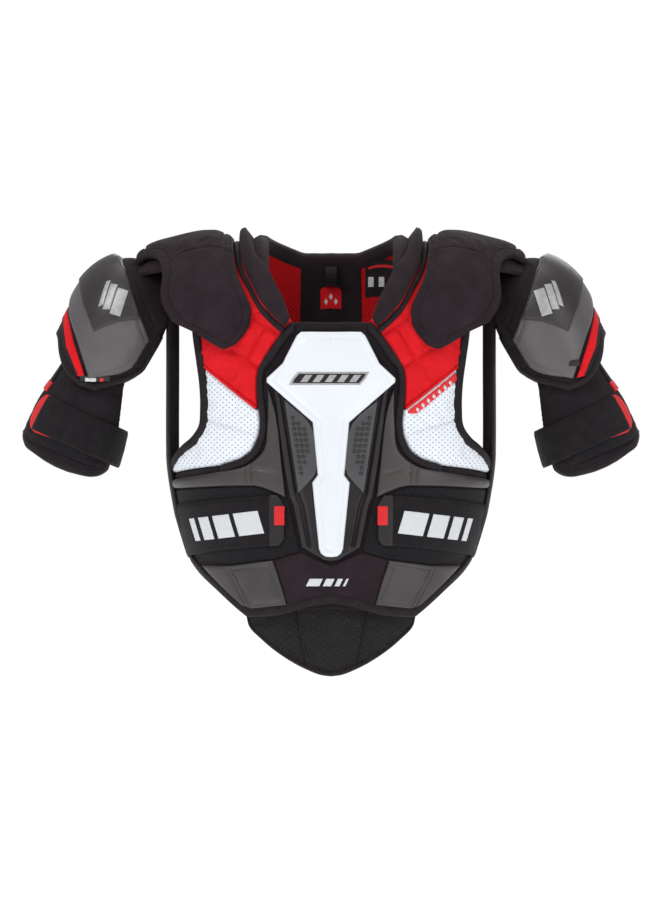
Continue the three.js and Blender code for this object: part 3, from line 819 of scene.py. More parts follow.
# ---------------- materials
class Shader:
    """A node material: one Principled shader, with helpers that add nodes in millimetre units."""

    def __init__(self, name, colour, rough, **sockets):
        self.material = bpy.data.materials.new(name)
        self.material.use_nodes = True
        self.tree = self.material.node_tree
        self.shader = self.tree.nodes["Principled BSDF"]
        self.colour = tuple(colour) + (1.0,)
        self.shader.inputs["Base Color"].default_value = self.colour
        self.shader.inputs["Roughness"].default_value = rough
        for key, value in sockets.items():
            self.shader.inputs[key.replace("_", " ")].default_value = value
        uv = self.node("ShaderNodeUVMap", uv_map="UVMap")
        parts = self.node("ShaderNodeSeparateXYZ")
        self.tree.links.new(uv.outputs["UV"], parts.inputs[0])
        self.u = self.math("MULTIPLY", parts.outputs[0], PER_METRE)
        self.v = self.math("MULTIPLY", parts.outputs[1], PER_METRE)
        self.place = self.node("ShaderNodeTexCoord").outputs["Object"]
        MATERIALS[name] = self.material

    def node(self, kind, **settings):
        made = self.tree.nodes.new(kind)
        for key, value in settings.items():
            setattr(made, key, value)
        return made

    def math(self, operation, *values):
        """One step of arithmetic on numbers or sockets."""
        made = self.node("ShaderNodeMath", operation=operation)
        for socket, value in zip(made.inputs, values):
            if isinstance(value, (int, float)):
                socket.default_value = value
            else:
                self.tree.links.new(value, socket)
        return made.outputs[0]

    def noise(self, grain):
        """Noise whose features are about grain millimetres across."""
        made = self.node("ShaderNodeTexNoise")
        made.inputs["Scale"].default_value = PER_METRE / grain
        made.inputs["Detail"].default_value = 3.0
        self.tree.links.new(self.place, made.inputs["Vector"])
        return made.outputs[0]

    def spread(self, value, **ends):
        """Moves a value from one range to another."""
        made = self.node("ShaderNodeMapRange")
        for key, end in ends.items():
            made.inputs[key.replace("_", " ")].default_value = end
        self.tree.links.new(value, made.inputs["Value"])
        return made.outputs[0]

    def ribs(self, along, pitch):
        return self.math("SINE", self.math("MULTIPLY", along, 2 * math.pi / pitch))

    def knit(self, pitch):
        """Rows of small loops."""
        sway = self.math("MULTIPLY", self.ribs(self.v, pitch * 1.2), 0.22 * pitch)
        return self.math("ABSOLUTE", self.ribs(self.math("ADD", self.u, sway), pitch * 2))

    def weave(self, pitch):
        return self.math("MULTIPLY", self.ribs(self.u, pitch), self.ribs(self.v, pitch))

    def dots(self, pitch_u, pitch_v, radius, shift, soft):
        """1 inside the round dots of a grid, 0 outside."""
        parts = []
        for value, pitch, move in ((self.u, pitch_u, shift * pitch_u), (self.v, pitch_v, shift * pitch_v)):
            cell = self.math("FLOORED_MODULO", self.math("ADD", value, move), pitch)
            gap = self.math("SUBTRACT", cell, pitch / 2)
            parts.append(self.math("MULTIPLY", gap, gap))
        away = self.math("SQRT", self.math("ADD", *parts))
        return self.spread(away, From_Min=radius + soft, From_Max=radius - soft)

    def staggered(self, pitch_u, pitch_v, radius, soft):
        """Two such grids, the second half a pitch further on."""
        a = self.dots(pitch_u, pitch_v, radius, 0.0, soft)
        b = self.dots(pitch_u, pitch_v, radius, 0.5, soft)
        return self.math("MAXIMUM", a, b)

    def paint(self, share, other):
        """Mixes another colour in where share is 1."""
        mix = self.node("ShaderNodeMix", data_type="RGBA")
        self.tree.links.new(share, mix.inputs["Factor"])
        source = self.shader.inputs["Base Color"]
        if source.links:
            self.tree.links.new(source.links[0].from_socket, mix.inputs["A"])
        else:
            mix.inputs["A"].default_value = self.colour
        mix.inputs["B"].default_value = tuple(other) + (1.0,)
        self.tree.links.new(mix.outputs["Result"], source)
        return self

    def mottle(self, grain, other):
        """Soft patches of another colour."""
        return self.paint(self.spread(self.noise(grain), From_Min=0.35, From_Max=0.75), other)

    def rougher(self, grain, low, high):
        """Roughness that varies between low and high."""
        uneven = self.spread(self.noise(grain), To_Min=low, To_Max=high)
        self.tree.links.new(uneven, self.shader.inputs["Roughness"])
        return self

    def bump(self, height, depth):
        """Bumps depth millimetres tall, where height goes from 0 to 1."""
        made = self.node("ShaderNodeBump")
        made.inputs["Strength"].default_value = 1.0
        made.inputs["Distance"].default_value = depth * MM
        self.tree.links.new(height, made.inputs["Height"])
        target = self.shader.inputs["Normal"]
        if target.links:
            self.tree.links.new(target.links[0].from_socket, made.inputs["Normal"])
        self.tree.links.new(made.outputs[0], target)
        return self


MATERIALS = {}
SLOT_OF = {
    "wing_plastic": "frame_plastic", "stud_plastic": "frame_plastic", "patch_plastic": "frame_plastic",
    "grey_foam_painted_light": "grey_foam", "red_stitch": "thread"}


def fabrics():
    soft = {"Specular_IOR_Level": 0.16, "Sheen_Roughness": 0.5}
    s = Shader("black_knit", (0.0165, 0.0098, 0.0130), 0.85, Sheen_Weight=0.03, **soft)
    s.mottle(26, (0.025, 0.016, 0.0205)).bump(s.knit(0.9), 0.22).bump(s.noise(3.5), 0.25)
    s = Shader("black_foam", (0.0115, 0.0072, 0.0100), 0.8, Sheen_Weight=0.025, **soft)
    s.mottle(22, (0.0175, 0.0125, 0.0155)).bump(s.weave(1.1), 0.16).bump(s.noise(5), 0.3)
    s = Shader("binding", (0.0105, 0.0072, 0.0095), 0.62, Sheen_Weight=0.03, **soft)
    s.mottle(9, (0.0185, 0.0135, 0.0165)).bump(s.ribs(s.u, 1.1), 0.14).bump(s.noise(2), 0.15)
    s = Shader("thread", (0.02, 0.017, 0.02), 0.6, **soft)
    s.mottle(2, (0.034, 0.03, 0.034)).bump(s.noise(0.6), 0.06)
    s = Shader("red_stitch", (0.30, 0.006, 0.01), 0.6, **soft)
    s.mottle(2, (0.36, 0.008, 0.014)).bump(s.noise(0.6), 0.06)
    s = Shader("loop_pile", (0.004, 0.0035, 0.0045), 0.95, Sheen_Weight=0.06, **soft)
    s.mottle(1.3, (0.02, 0.018, 0.021)).bump(s.noise(1.4), 1.2).bump(s.noise(0.5), 0.4)
    s = Shader("black_mesh", (0.034, 0.030, 0.034), 0.5, Sheen_Weight=0.03, **soft)
    s.paint(s.staggered(4.6, 4.2, 1.25, 0.45), (0.0028, 0.0025, 0.003))
    s.bump(s.staggered(4.6, 4.2, 1.4, 0.8), -1.1).bump(s.weave(1.7), 0.35).bump(s.noise(1.2), 0.25)
    s = Shader("red_fabric", (0.60, 0.0045, 0.0095), 0.66, Sheen_Weight=0.015, **soft)
    s.mottle(30, (0.67, 0.007, 0.013)).bump(s.weave(0.9), 0.09).bump(s.noise(4), 0.15)
    s = Shader("red_mesh", (0.56, 0.003, 0.006), 0.75, Sheen_Weight=0.0, **soft)
    s.mottle(20, (0.48, 0.0025, 0.005)).paint(s.staggered(4.2, 3.6, 0.62, 0.35), (0.13, 0.002, 0.004))
    s.bump(s.staggered(4.2, 3.6, 0.8, 0.5), -0.5)
    s = Shader("white_perforated", (0.70, 0.745, 0.80), 0.62, Sheen_Weight=0.03, **soft)
    s.mottle(40, (0.74, 0.78, 0.83)).paint(s.staggered(7.2, 6.0, 0.62, 0.22), (0.13, 0.15, 0.22))
    s.bump(s.staggered(7.2, 6.0, 0.8, 0.35), -0.5).bump(s.weave(0.8), 0.05)
    s = Shader("elastic", (0.0070, 0.0055, 0.0070), 0.7, Sheen_Weight=0.03, **soft)
    s.mottle(12, (0.0125, 0.0100, 0.0122)).bump(s.ribs(s.v, 1.6), 0.2).bump(s.ribs(s.u, 1.0), 0.1)


def plastics():
    # The second foam is a lighter copy of grey_foam for the arm guards. Its lighter colour is painted
    # light, standing for the light that falls on the guards.
    for name, colour, other in (
            ("grey_foam", (0.030, 0.0258, 0.0255), (0.041, 0.036, 0.0355)),
            ("grey_foam_painted_light", (0.072, 0.066, 0.070), (0.090, 0.083, 0.087))):
        s = Shader(name, colour, 0.42, Specular_IOR_Level=0.5)
        s.mottle(35, other).rougher(12, 0.34, 0.5).bump(s.noise(0.9), 0.05).bump(s.noise(14), 0.3)
    s = Shader("white_plate", (0.68, 0.715, 0.75), 0.3, Coat_Weight=0.2, Coat_Roughness=0.2)
    s.mottle(60, (0.655, 0.69, 0.73)).rougher(20, 0.26, 0.38).bump(s.noise(0.7), 0.012)
    s = Shader("frame_plastic", (0.0095, 0.0070, 0.0086), 0.4, Specular_IOR_Level=0.34)
    s.mottle(25, (0.0140, 0.0110, 0.0128)).rougher(8, 0.32, 0.48).bump(s.noise(0.6), 0.03)
    s = Shader("wing_plastic", (0.050, 0.050, 0.054), 0.42, Specular_IOR_Level=0.4)
    s.mottle(25, (0.060, 0.060, 0.064)).rougher(8, 0.34, 0.5).bump(s.noise(0.7), 0.05)
    s = Shader("patch_plastic", (0.022, 0.018, 0.021), 0.42, Specular_IOR_Level=0.4)
    s.mottle(25, (0.029, 0.025, 0.028)).rougher(8, 0.34, 0.5).bump(s.noise(0.7), 0.04)
    s = Shader("stud_plastic", (0.006, 0.005, 0.006), 0.16, Specular_IOR_Level=0.6)
    s.mottle(3, (0.010, 0.009, 0.010)).bump(s.noise(0.9), 0.01)
    s = Shader("insert_plastic", (0.05, 0.05, 0.052), 0.5)
    s.mottle(20, (0.06, 0.06, 0.062)).bump(s.noise(0.8), 0.03)
    s = Shader("print_white", (0.74, 0.76, 0.78), 0.5)
    s.mottle(3, (0.62, 0.64, 0.67)).paint(s.staggered(1.9, 1.9, 0.36, 0.14), (0.06, 0.06, 0.065))
    s.bump(s.noise(0.8), 0.03)
    s = Shader("print_silver", (0.30, 0.295, 0.30), 0.42, Metallic=0.3)
    s.mottle(5, (0.40, 0.395, 0.40)).rougher(4, 0.36, 0.5).bump(s.noise(0.9), 0.02)
    s = Shader("print_red", (0.60, 0.0050, 0.010), 0.5)
    s.mottle(8, (0.67, 0.007, 0.013)).bump(s.weave(0.8), 0.05)


fabrics()
plastics()


# ---------------- outlines shared by several pieces
ARMHOLE = [
    (166, -60.4), (165, -90), (160, -126), (156, -156), (155, -186), (157, -206), (167, -221),
    (180, -232), (190, -244), (196, -260)]
SIDE_AND_HEM = [
    (215, -266), (200, -285), (189, -309), (182, -330), (176, -345), (171, -360), (159, -379),
    (134, -404), (111, -425), (100, -434), (62, -431), (26, -421), (0, -417)]
OVERLAY_NECK = [
    (0, -81), (46, -81), (54, -89), (70, -111), (86, -137), (88, -160), (86, -184), (84, -202),
    (86, -217), (95, -236), (107, -245), (132, -253)]
RED_LINE = [(158, -129), (88.5, -184)]
BACK_NECK = [(0, -8), (36, -8), (58, -1), (80, 8), (95, 26)]
BACK_ARMHOLE = [
    (160, -18), (160, -60), (150, -100), (142, -150), (143, -190), (158, -222), (180, -243)]
BACK_HEM = [(215, -250), (190, -300), (172, -345), (120, -365), (31, -376), (0, -380)]
HINGE_Y, HINGE_Z = 58.0, 4.0
HINGE_TILT = math.radians(40)
TAPE_WIDTH = 10.5
# Heights at which pieces lie on the chest's liner and overlay, and on the back's lining.
ON_LINER = 4.4
ON_OVERLAY = 10.4
ON_LINING = 4.2
PRINT_EDGE = 0.3


def hinge_v(u, offset):
    """How far up and over the shoulder the back's fabric hinge lies, at each u."""
    vs = np.linspace(TOP_V - 20, TOP_V + 160, 721)
    out = []
    for at in np.atleast_1d(u):
        y, z = torso(np.full(len(vs), at), vs)[:, 1:].T
        side = (y - HINGE_Y) * math.cos(HINGE_TILT) - (z - HINGE_Z) * math.sin(HINGE_TILT)
        out.append(vs[np.argmax(side > offset)])
    return np.array(out)


def u_at(x):
    """How far round the torso a place seen at x lies."""
    return float(on_front([(x, 0)], 0.0)[0, 0])


# ---------------- chest
def chest_base():
    half = [(0, -83), (47, -83), (62, -60.4)] + ARMHOLE + SIDE_AND_HEM
    liner = panel("chest_liner", torso, on_front(both_sides(half), 4), 0.2, 3.6, "black_knit", 7, 2.5)
    place(liner, "chest", "chest_liner", 0.5)
    half = OVERLAY_NECK + [(200, -264.5)] + SIDE_AND_HEM
    overlay = panel("chest_overlay", torso, on_front(both_sides(half), 10), ON_LINER, 5.6, "black_foam",
                    5, 3)
    place(overlay, "chest", "chest_overlay", 0.6)
    edge = flow(ARMHOLE, per=5)
    tape_path = beside(on_front(edge, 13), 3.0)
    pair(binding("armhole_binding", torso, tape_path, TAPE_WIDTH, 0.0, 13.2), "chest")
    row = beside(tape_path, -(TAPE_WIDTH - 1.5))
    pair(stitches("armhole_stitches", torso, row, 14.5), "chest")
    hem = flow([(196, -262)] + SIDE_AND_HEM, per=5)
    whole = carried_over(on_front(hem, 10))
    place(binding("hem_binding", torso, whole, TAPE_WIDTH, 0.0, 12.5), "chest")
    place(stitches("hem_stitches", torso, beside(whole, -(TAPE_WIDTH - 1.5)), 13.8), "chest")
    neck = on_front(flow(OVERLAY_NECK[1:], per=5), 10)
    pair(tape("overlay_edge", torso, beside(neck, -3.2), 7.5, 10.0, 4.2, "binding"), "chest")
    pair(stitches("overlay_stitches", torso, beside(neck, -5.4), 14.2), "chest")


def clavicle_pads():
    outline = [(62, -60.4)] + ARMHOLE[:3] + RED_LINE + [(x + 0.9, z + 0.6) for x, z in OVERLAY_NECK[5:0:-1]]
    seams = lines_on(on_front, 3.4, 3.4, [(93.6, -77), (63, -95.8)], [(80.6, -89.6), (101, -123)],
                     [(121, -114), (87.6, -136)])
    pad = panel("clavicle_pad", torso, on_front(outline), ON_LINER, 7.6, "red_fabric", 2.6, 4, crown=1.6,
                seams=seams, puffed=2.2, folds=0.04, waves=0.25)
    pair(pad, "chest", "*_clavicle_pad", 0.7)
    for k, (line, _, _) in enumerate(seams):
        row = stitches(f"clavicle_stitches_{k}", torso, line, 10.4, "red_stitch", 2.6, 1.6, 0.28)
        pair(row, "chest")


def side_chest_pads():
    outline = [(158.5, -130)] + ARMHOLE[3:] + [(205, -263.6)]
    outline += [(x + 0.9, z + 0.6) for x, z in OVERLAY_NECK[:5:-1]] + [(89, -185.2)]
    seam = lines_on(on_front, 2.2, 1.6, [(150, -198), (86, -217)])
    pad = panel("side_chest_pad", torso, on_front(outline), ON_LINER, 7.4, "white_perforated", 3, 4,
                crown=1.6, seams=seam, puffed=1.8, folds=0.03)
    pair(pad, "chest", "*_side_chest_pad", 0.65)
    line = line_on(on_front, [(157, -130.5), (90, -184)])
    pair(tape("red_edge", torso, line, 3.4, 8.0, 5.6, "red_fabric"), "chest")
    # A plain red flash along the colour change, on the wearer's left only.
    flash = on_front([(150, -141), (152, -150), (104, -190), (92, -191), (92, -187)])
    place(panel("chest_flash", torso, flash, ON_OVERLAY, 3.6, "print_red", 3, 1.2), "chest")
    for k in range(7):
        x, z = 142 - 6.6 * k, -150.5 - 5.35 * k
        mark = on_front([(x, z), (x + 3.2, z - 2.6), (x + 2.0, z - 6.4), (x - 1.2, z - 3.8)])
        obj = panel(f"flash_mark_{k}", torso, mark, 13.6, 0.7, "print_white", 1.5, PRINT_EDGE)
        place(obj, "chest")


def rib_and_belly():
    outline = flow([
        (76, -160), (77, -205), (81, -234), (101, -252), (130, -259), (200, -271), (200, -281),
        (105, -277), (92, -277), (54.5, -291), (58, -260), (72.5, -168)], closed=True, corner=50, per=4)
    seams = lines_on(on_front, 2.2, 1.8, [(97, -252), (96, -275)], [(103, -254), (102, -276)])
    seams += lines_on(on_front, 2.2, 1.0, [(66, -262), (88, -256), (96, -262)])
    pad = panel("rib_pad", torso, on_front(outline, 14), ON_OVERLAY, 4.4, "grey_foam", 3, 3.6, crown=1.0,
                seams=seams)
    pair(pad, "chest", "*_rib_pad", 0.8)
    outline = [
        (70, -366), (123, -373), (157, -373), (131, -400), (108, -421), (96, -425), (53, -420)]
    seams = lines_on(on_front, 1.8, 1.6, [(122, -372), (95, -425)], [(127, -372), (100, -424)])
    seams += lines_on(on_front, 1.6, 0.9, [
        (75, -371), (119, -377.5), (93, -419.5), (58.5, -415), (75, -371)])
    patch = panel("belly_patch", torso, on_front(outline, 14), ON_OVERLAY, 4.0, "grey_foam", 3, 3,
                  crown=0.8, seams=seams)
    pair(patch, "chest", "*_belly_patch", 0.8)
    outline = [
        (51.5, -293), (92.5, -278.5), (105, -278.5), (192, -283), (181, -325), (166, -357),
        (146, -366), (122, -371.5), (69, -364.5), (38, -355), (50, -300)]
    pile = panel("loop_panel", torso, on_front(outline, 11), ON_OVERLAY, 1.5, "loop_pile", 2.6, 1.0,
                 waves=0.12)
    pair(pile, "chest", "*_loop_panel", held="laid", rests_on="chest_overlay")
    band = both_sides([(0, -373), (36, -357), (68.5, -366), (51.5, -422), (26, -415), (0, -411)])
    band = panel("belly_band", torso, on_front(band, 12), ON_OVERLAY, 2.4, "black_knit", 3, 1.6, crown=0.6)
    place(band, "chest", "belly_band", 0.4)
    for k, (x, wide) in enumerate(((-30, 16), (-10, 10), (4, 6), (14, 3))):
        mark = [(x, -397), (x + 4.4, -388), (x + 4.4 + wide, -388), (x + wide, -397)]
        obj = panel(f"belly_mark_{k}", torso, on_front(mark, 12.5), 13.3, 0.7, "print_white", 1.5,
                    PRINT_EDGE)
        place(obj, "chest")


def sternum():
    frame_half = [
        (0, -94), (37, -94), (75, -149), (69, -163), (66, -182), (50, -290), (46, -300), (35, -351),
        (9, -366), (0, -367.6)]
    ribs = []
    for sign in (1, -1):
        for inset, low in ((4.5, -2.2), (9.0, 1.8), (13.5, -1.6)):
            path = [(68 - inset, -166), (49 - inset, -288), (44 - inset, -301), (33 - inset * 0.8, -350)]
            ribs += lines_on(on_front, 2.6, low, [(sign * x, z) for x, z in path])
    obj = panel("sternum_frame", torso, on_front(both_sides(frame_half), 15), ON_OVERLAY, 6.4,
                "frame_plastic", 2.8, 2.6, seams=ribs)
    place(obj, "chest", "sternum_frame")
    plate_half = [
        (0, -92.7), (36, -92.7), (41, -97), (77, -148), (77, -153), (22, -201), (16, -264), (22.5, -273),
        (14.5, -352), (12, -358), (7, -361.4), (0, -362.2)]
    outline = on_front(both_sides(plate_half), 20)
    inner = [
        (0, -100), (33, -100), (68.5, -149.5), (14, -198), (9, -262), (14.5, -274), (9, -348), (5, -353),
        (0, -354.5)]
    creases = []
    for sign in (1, -1):
        path = on_front(densify([(sign * x, z) for x, z in inner], 2.5, closed=False), 20)
        creases.append((path, 2.4, 1.3))
    creases.append((line_on(on_front, [(0, -205), (0, -350)], 20), 7, -1.0))
    obj = panel("sternum_plate", torso, outline, 17.6, 5.6, "white_plate", 2.6, 2.4, crown=1.0,
                seams=creases)
    place(obj, "chest", "sternum_plate")
    wing = flow([(56, -174), (25, -202.5), (19, -264), (26, -272), (39, -286)], True, 60, 3)
    obj = panel("sternum_wing", torso, on_front(wing, 18), 16.8, 4.6, "wing_plastic", 2.6, 2.0)
    pair(obj, "chest", "*_sternum_wing")
    centres = []
    for i, count in enumerate([1, 2, 3, 3, 3, 3, 3, 2, 2, 1, 1]):
        for j in range(count):
            centres.append((46 - 1.04 * i - 6.0 * j, -195.6 - 6.64 * i))
    obj = studs("wing_studs", torso, on_front(centres, 20), 2.1, 20.4, 3.4, "stud_plastic")
    pair(obj, "chest")
    badge()


def badge():
    """A plain silver badge: a slanted lozenge with three bars, in place of lettering."""
    outer = [(-47, -149), (-40, -140.5), (46, -140.5), (42, -148), (35, -156.5), (-50, -156.5)]
    inner = [(-43.5, -149), (-38, -142.8), (42, -142.8), (39, -148), (33.5, -154.2), (-46, -154.2)]
    place(panel("badge_edge", torso, on_front(outer, 24), 23.4, 1.0, "print_silver", 2.2, 0.5), "chest")
    place(panel("badge_field", torso, on_front(inner, 24), 24.0, 0.7, "frame_plastic", 2.2, 0.4), "chest")
    for k in range(5):
        x = -35 + 14.6 * k
        bar = [(x - 2, -152.8), (x + 4.5, -144.2), (x + 13, -144.2), (x + 6.5, -152.8)]
        obj = panel(f"badge_bar_{k}", torso, on_front(bar, 25), 24.3, 1.1, "print_silver", 2.0, 0.5)
        place(obj, "chest")


def belly_pad():
    half = flow([
        (0, -412), (90, -420), (102, -432), (99, -445), (84, -461), (57, -482), (30, -496.5), (12, -503.2),
        (0, -504.8)], per=4)
    seams = [(line_on(on_front, [(s * 44, -414), (s * 38, -452), (s * 30, -497)], -6), 2.4, 1.8)
             for s in (1, -1)]
    outline = on_front(both_sides(half), -6)
    obj = panel("belly_pad", torso, outline, -13.6, 7.6, "black_mesh", 3, 3.4, crown=1.0, seams=seams,
                puffed=1.6, folds=0.02)
    place(obj, "belly_flap", "belly_pad", 0.6)
    whole = carried_over(np.array([p for p in on_front(half, -6) if p[1] < -424]))
    place(binding("belly_binding", torso, whole, 5.0, -13.8, -5.6), "belly_flap")
    place(stitches("belly_stitches", torso, beside(whole, -6.6), -5.6), "belly_flap")
    strip = panel("belly_hinge", torso, on_front(
        both_sides([(0, -404), (86, -411), (88, -430), (0, -424)]), -4), -4.2, 1.6, "black_knit", 3, 0.7)
    bridge(strip, "belly_pad",
           both=False)


# ---------------- side straps
STRAP_HALF = 30.0


def strap_path(first, last, count=40):
    """The strap's middle line on the torso, between two turns in degrees from the front."""
    turns = np.linspace(first, last, count)
    z = -318 - 0.17 * (turns - 18)
    facing_back = turns > 90
    turn = np.radians(np.where(facing_back, 180 - turns, turns))
    u = np.interp(turn, TURNS, ARCS)
    return np.stack([u, np.where(facing_back, 2 * TOP_V - z, z)], axis=1)


def side_straps():
    path = strap_path(18.6, 88.5)
    strap = tape("side_strap", torso, path, 2 * STRAP_HALF, 12.8, 2.4, "elastic")
    pair(strap, "*_side_strap_flap", "*_side_strap", held="stretched", rests_on="*_loop_panel")
    for edge, shift in (("top", STRAP_HALF - 2.5), ("bottom", 2.5 - STRAP_HALF)):
        row = stitches(f"side_strap_edge_{edge}", torso, beside(path, shift), 15.2)
        pair(row, "*_side_strap_flap")
    for k, (start, wide) in enumerate(((80, 30), (115, 20), (140, 12), (157, 6))):
        band = [(start, -334), (start + 8, -306), (start + 8 + wide, -306), (start + wide, -334)]
        band = on_front([(x, z - 0.12 * (x - 82)) for x, z in band], 15.4)
        obj = panel(f"strap_mark_{k}", torso, band, 15.1, 0.6, "print_white", 2.2, PRINT_EDGE)
        pair(obj, "*_side_strap_flap")
    tab = [(74, -287.5), (63.5, -288), (56, -300), (56, -340), (62, -348.5), (74, -349.5)]
    obj = panel("strap_tab", torso, on_front(tab, 15), 12.8, 3.0, "frame_plastic", 2.2, 1.2)
    pair(obj, "*_side_strap_flap", "*_strap_tab")
    pull = on_front([(55.5, -301), (68, -301), (68, -324), (55.5, -324)], 16)
    ridges = [(line_on(on_front, [(x, -302.5), (x, -322.5)], 16), 1.5, -1.5) for x in (58.0, 61.7, 65.4)]
    obj = panel("strap_pull", torso, pull, 15.2, 2.2, "print_red", 1.2, 0.9, seams=ridges)
    pair(obj, "*_side_strap_flap")
    rear = tape("side_strap_rear", torso, strap_path(88.3, 128), 2 * STRAP_HALF, 13.6, 2.4, "elastic")
    bridge(rear, "*_kidney_pad",
           "*_side_strap_rear")


# ---------------- yokes, collars and back
def yokes():
    us = np.linspace(u_at(76), u_at(168), 12)
    front = on_front([(x, -60.2) for x in np.linspace(76, 168, 12)], 8)
    back = np.stack([us, hinge_v(us, -1.2)], axis=1)
    obj = panel("yoke_pad", torso, np.vstack([front, back[::-1]]), 0.0, 13.4, "black_knit", 4, 5, crown=0.6)
    pair(obj, "chest", "*_yoke_pad", 0.6)
    cover = flow([
        (68, -66), (90, -70), (134, -70), (136, -30), (132, 4), (104, 6), (98, -18), (86, -42)],
        closed=True, corner=60, per=3)
    obj = panel("yoke_cover", torso, on_front(cover, 14), 11.6, 3.4, "red_fabric", 3, 1.6, crown=0.5)
    pair(obj, "chest", fill=0.4)
    end = np.stack([us, hinge_v(us, 1.4)], axis=1)
    strip = panel("shoulder_hinge", torso, np.vstack([back - (0, 5), (end + (0, 5))[::-1]]), 5.0, 2.0,
                  "black_knit", 3, 0.9)
    bridge(strip, "*_yoke_pad")


def collars():
    front = on_front(flow([(53, -82), (66, -63), (79, -44), (91, -24), (99, -4), (102.5, 14)], per=5), 19)
    top_u = front[-1, 0]
    last = hinge_v([top_u], -1.4)[0]
    over = np.stack([np.full(14, top_u), np.linspace(front[-1, 1] + 3, last, 14)], axis=1)
    path = np.vstack([front, over])
    swell = spline([[0, 0.35], [0.1, 0.72], [0.3, 0.95], [0.6, 1.0], [1, 1.0]])
    profile = [
        (-13.6, 15.4), (-14.2, 18.6), (-11.2, 22.4), (-5.5, 24.2), (1, 24.4), (6, 23.2), (8.8, 20.8),
        (9.8, 18.2), (9.4, 15.4)]
    tall = spline([[0, 0.7], [0.35, 1.0], [0.7, 1.9], [1, 1.7]])
    obj = sweep("collar", torso, path, profile, "black_knit", taper=swell, rise=tall)
    pair(obj, "chest", "*_collar", 0.7)
    line = even(path, 2.5)
    share = np.linspace(0, 1, len(line))
    pair(stitches("collar_stitches", torso, beside(line, -7.0 * swell(share))[6:-12], 23.4), "chest")
    roll = [(-5.5, 12.6), (-5.8, 15), (-4.4, 18.4), (0, 20.2), (4.4, 19.2), (5.5, 15), (5.2, 12.6)]
    ridge = sweep("collar_binding", torso, beside(line, -12.2 * swell(share) - 2.0), roll, "binding",
                  taper=lambda at: 0.45 + 0.45 * at, rise=lambda at: 0.6 + 0.35 * at)
    pair(ridge, "chest")


def back_unit():
    whole = on_back(both_sides(BACK_NECK + BACK_ARMHOLE + BACK_HEM), 4)
    obj = panel("back_lining", torso, whole, -0.2, 4.0, "red_mesh", 5, 2.5, waves=0.4)
    place(obj, "back", "back_lining", 0.4)
    pads = BACK_NECK[2:] + BACK_ARMHOLE[:5] + [(146, -200), (100, -232), (37, -244), (37, -8)]
    seams = lines_on(on_back, 3, 2.6, [(52, -20), (52, -232)], [(120, -30), (118, -110), (104, -222)],
                     [(60, -118), (146, -118)])
    obj = panel("back_pad", torso, on_back(pads), ON_LINING, 7.8, "black_foam", 3.4, 4.5, crown=1.2,
                seams=seams, puffed=2.0, folds=0.03)
    pair(obj, "back", "*_back_pad", 0.65)
    kidney = [(148, -201.5)] + BACK_ARMHOLE[5:] + [
        (215, -250), (200, -292), (190, -320), (170, -345), (120, -364), (37, -372), (37, -246),
        (101, -234)]
    seams = lines_on(on_back, 2.4, 1.8, [(70, -252), (70, -364)], [(110, -248), (110, -360)],
                     [(44, -300), (176, -290)])
    obj = panel("kidney_pad", torso, on_back(kidney), ON_LINING, 7.8, "grey_foam", 3.4, 4, crown=1.0,
                seams=seams)
    pair(obj, "back", "*_kidney_pad", 0.8)
    half = [(0, -8), (35.8, -8), (35.8, -372), (0, -378)]
    obj = panel("spine_pad", torso, on_back(both_sides(half)), ON_LINING, 8.2, "black_foam", 4, 4,
                crown=0.4)
    place(obj, "back", "spine_pad", 0.7)
    for k, (top, bottom, wide, narrow) in enumerate((
            (-28, -113, 30, 27), (-117, -201, 26, 23), (-205, -290, 22, 17))):
        half = [
            (0, top), (wide - 5, top), (wide, top - 6), (narrow, bottom + 5), (narrow - 5, bottom),
            (0, bottom)]
        seams = lines_on(on_back, 9, -1.2, [(0, top - 8), (0, bottom + 8)])
        seams += lines_on(on_back, 2.6, 1.4, *[
            [(s * (wide - 8), top - 10), (s * (narrow - 8), bottom + 10)] for s in (1, -1)])
        obj = panel(f"spine_plate_{k}", torso, on_back(both_sides(half), 16), 13.4, 5.0, "frame_plastic",
                    3, 2.4, seams=seams)
        place(obj, "back", "spine_plate" if k == 0 else None)
    middle = on_back([(0, 0.5), (18, 0.5), (37, 1.5), (50, 6), (64, 11.5), (78, 18.5), (90, 25)], 12)
    side = u_at(103)
    path = flow(np.vstack([middle, [(side, hinge_v([side], 1.6)[0])]]), per=6)
    whole = np.vstack([path[::-1] * (-1, 1), path[1:]])
    profile = [
        (-5.6, -0.8), (-6.2, 4), (-5.8, 10), (-3.8, 14.4), (0, 15.6), (3.8, 14.4), (5.8, 10), (6.2, 4),
        (5.6, -0.8), (0, -1.4)]
    obj = sweep("back_collar", torso, whole, profile, "black_knit",
                taper=lambda share: 1 + 0.35 * np.abs(2 * share - 1) ** 4)
    place(obj, "back", "back_collar", 0.7)
    inner = on_back(both_sides([(0, -7), (37, -7), (36, -376), (0, -378)]), 0)
    obj = panel("spine_lining", torso, inner, -0.1, -1.4, "black_foam", 4, 1.0)
    place(obj, "back", held="laid", rests_on="back_lining")
    edge = on_back(flow(BACK_ARMHOLE + [(196, -248)], per=5), 13)
    pair(binding("back_armhole_binding", torso, edge, TAPE_WIDTH, -0.4, 12.2, right=False), "back")
    whole = carried_over(on_back(flow(BACK_HEM, per=5), 13))
    place(binding("back_hem_binding", torso, whole, TAPE_WIDTH, -0.4, 12.2, right=False), "back")
    place(stitches("back_hem_stitches", torso, beside(whole, TAPE_WIDTH - 1.5), 13.6), "back")
    for k, sign in enumerate((1, -1)):
        seam = line_on(on_back, [(sign * 36.4, -10), (sign * 36.4, -370)])
        place(tape(f"spine_seam_{k}", torso, seam, 4.4, 10.4, 3.0, "binding"), "back")


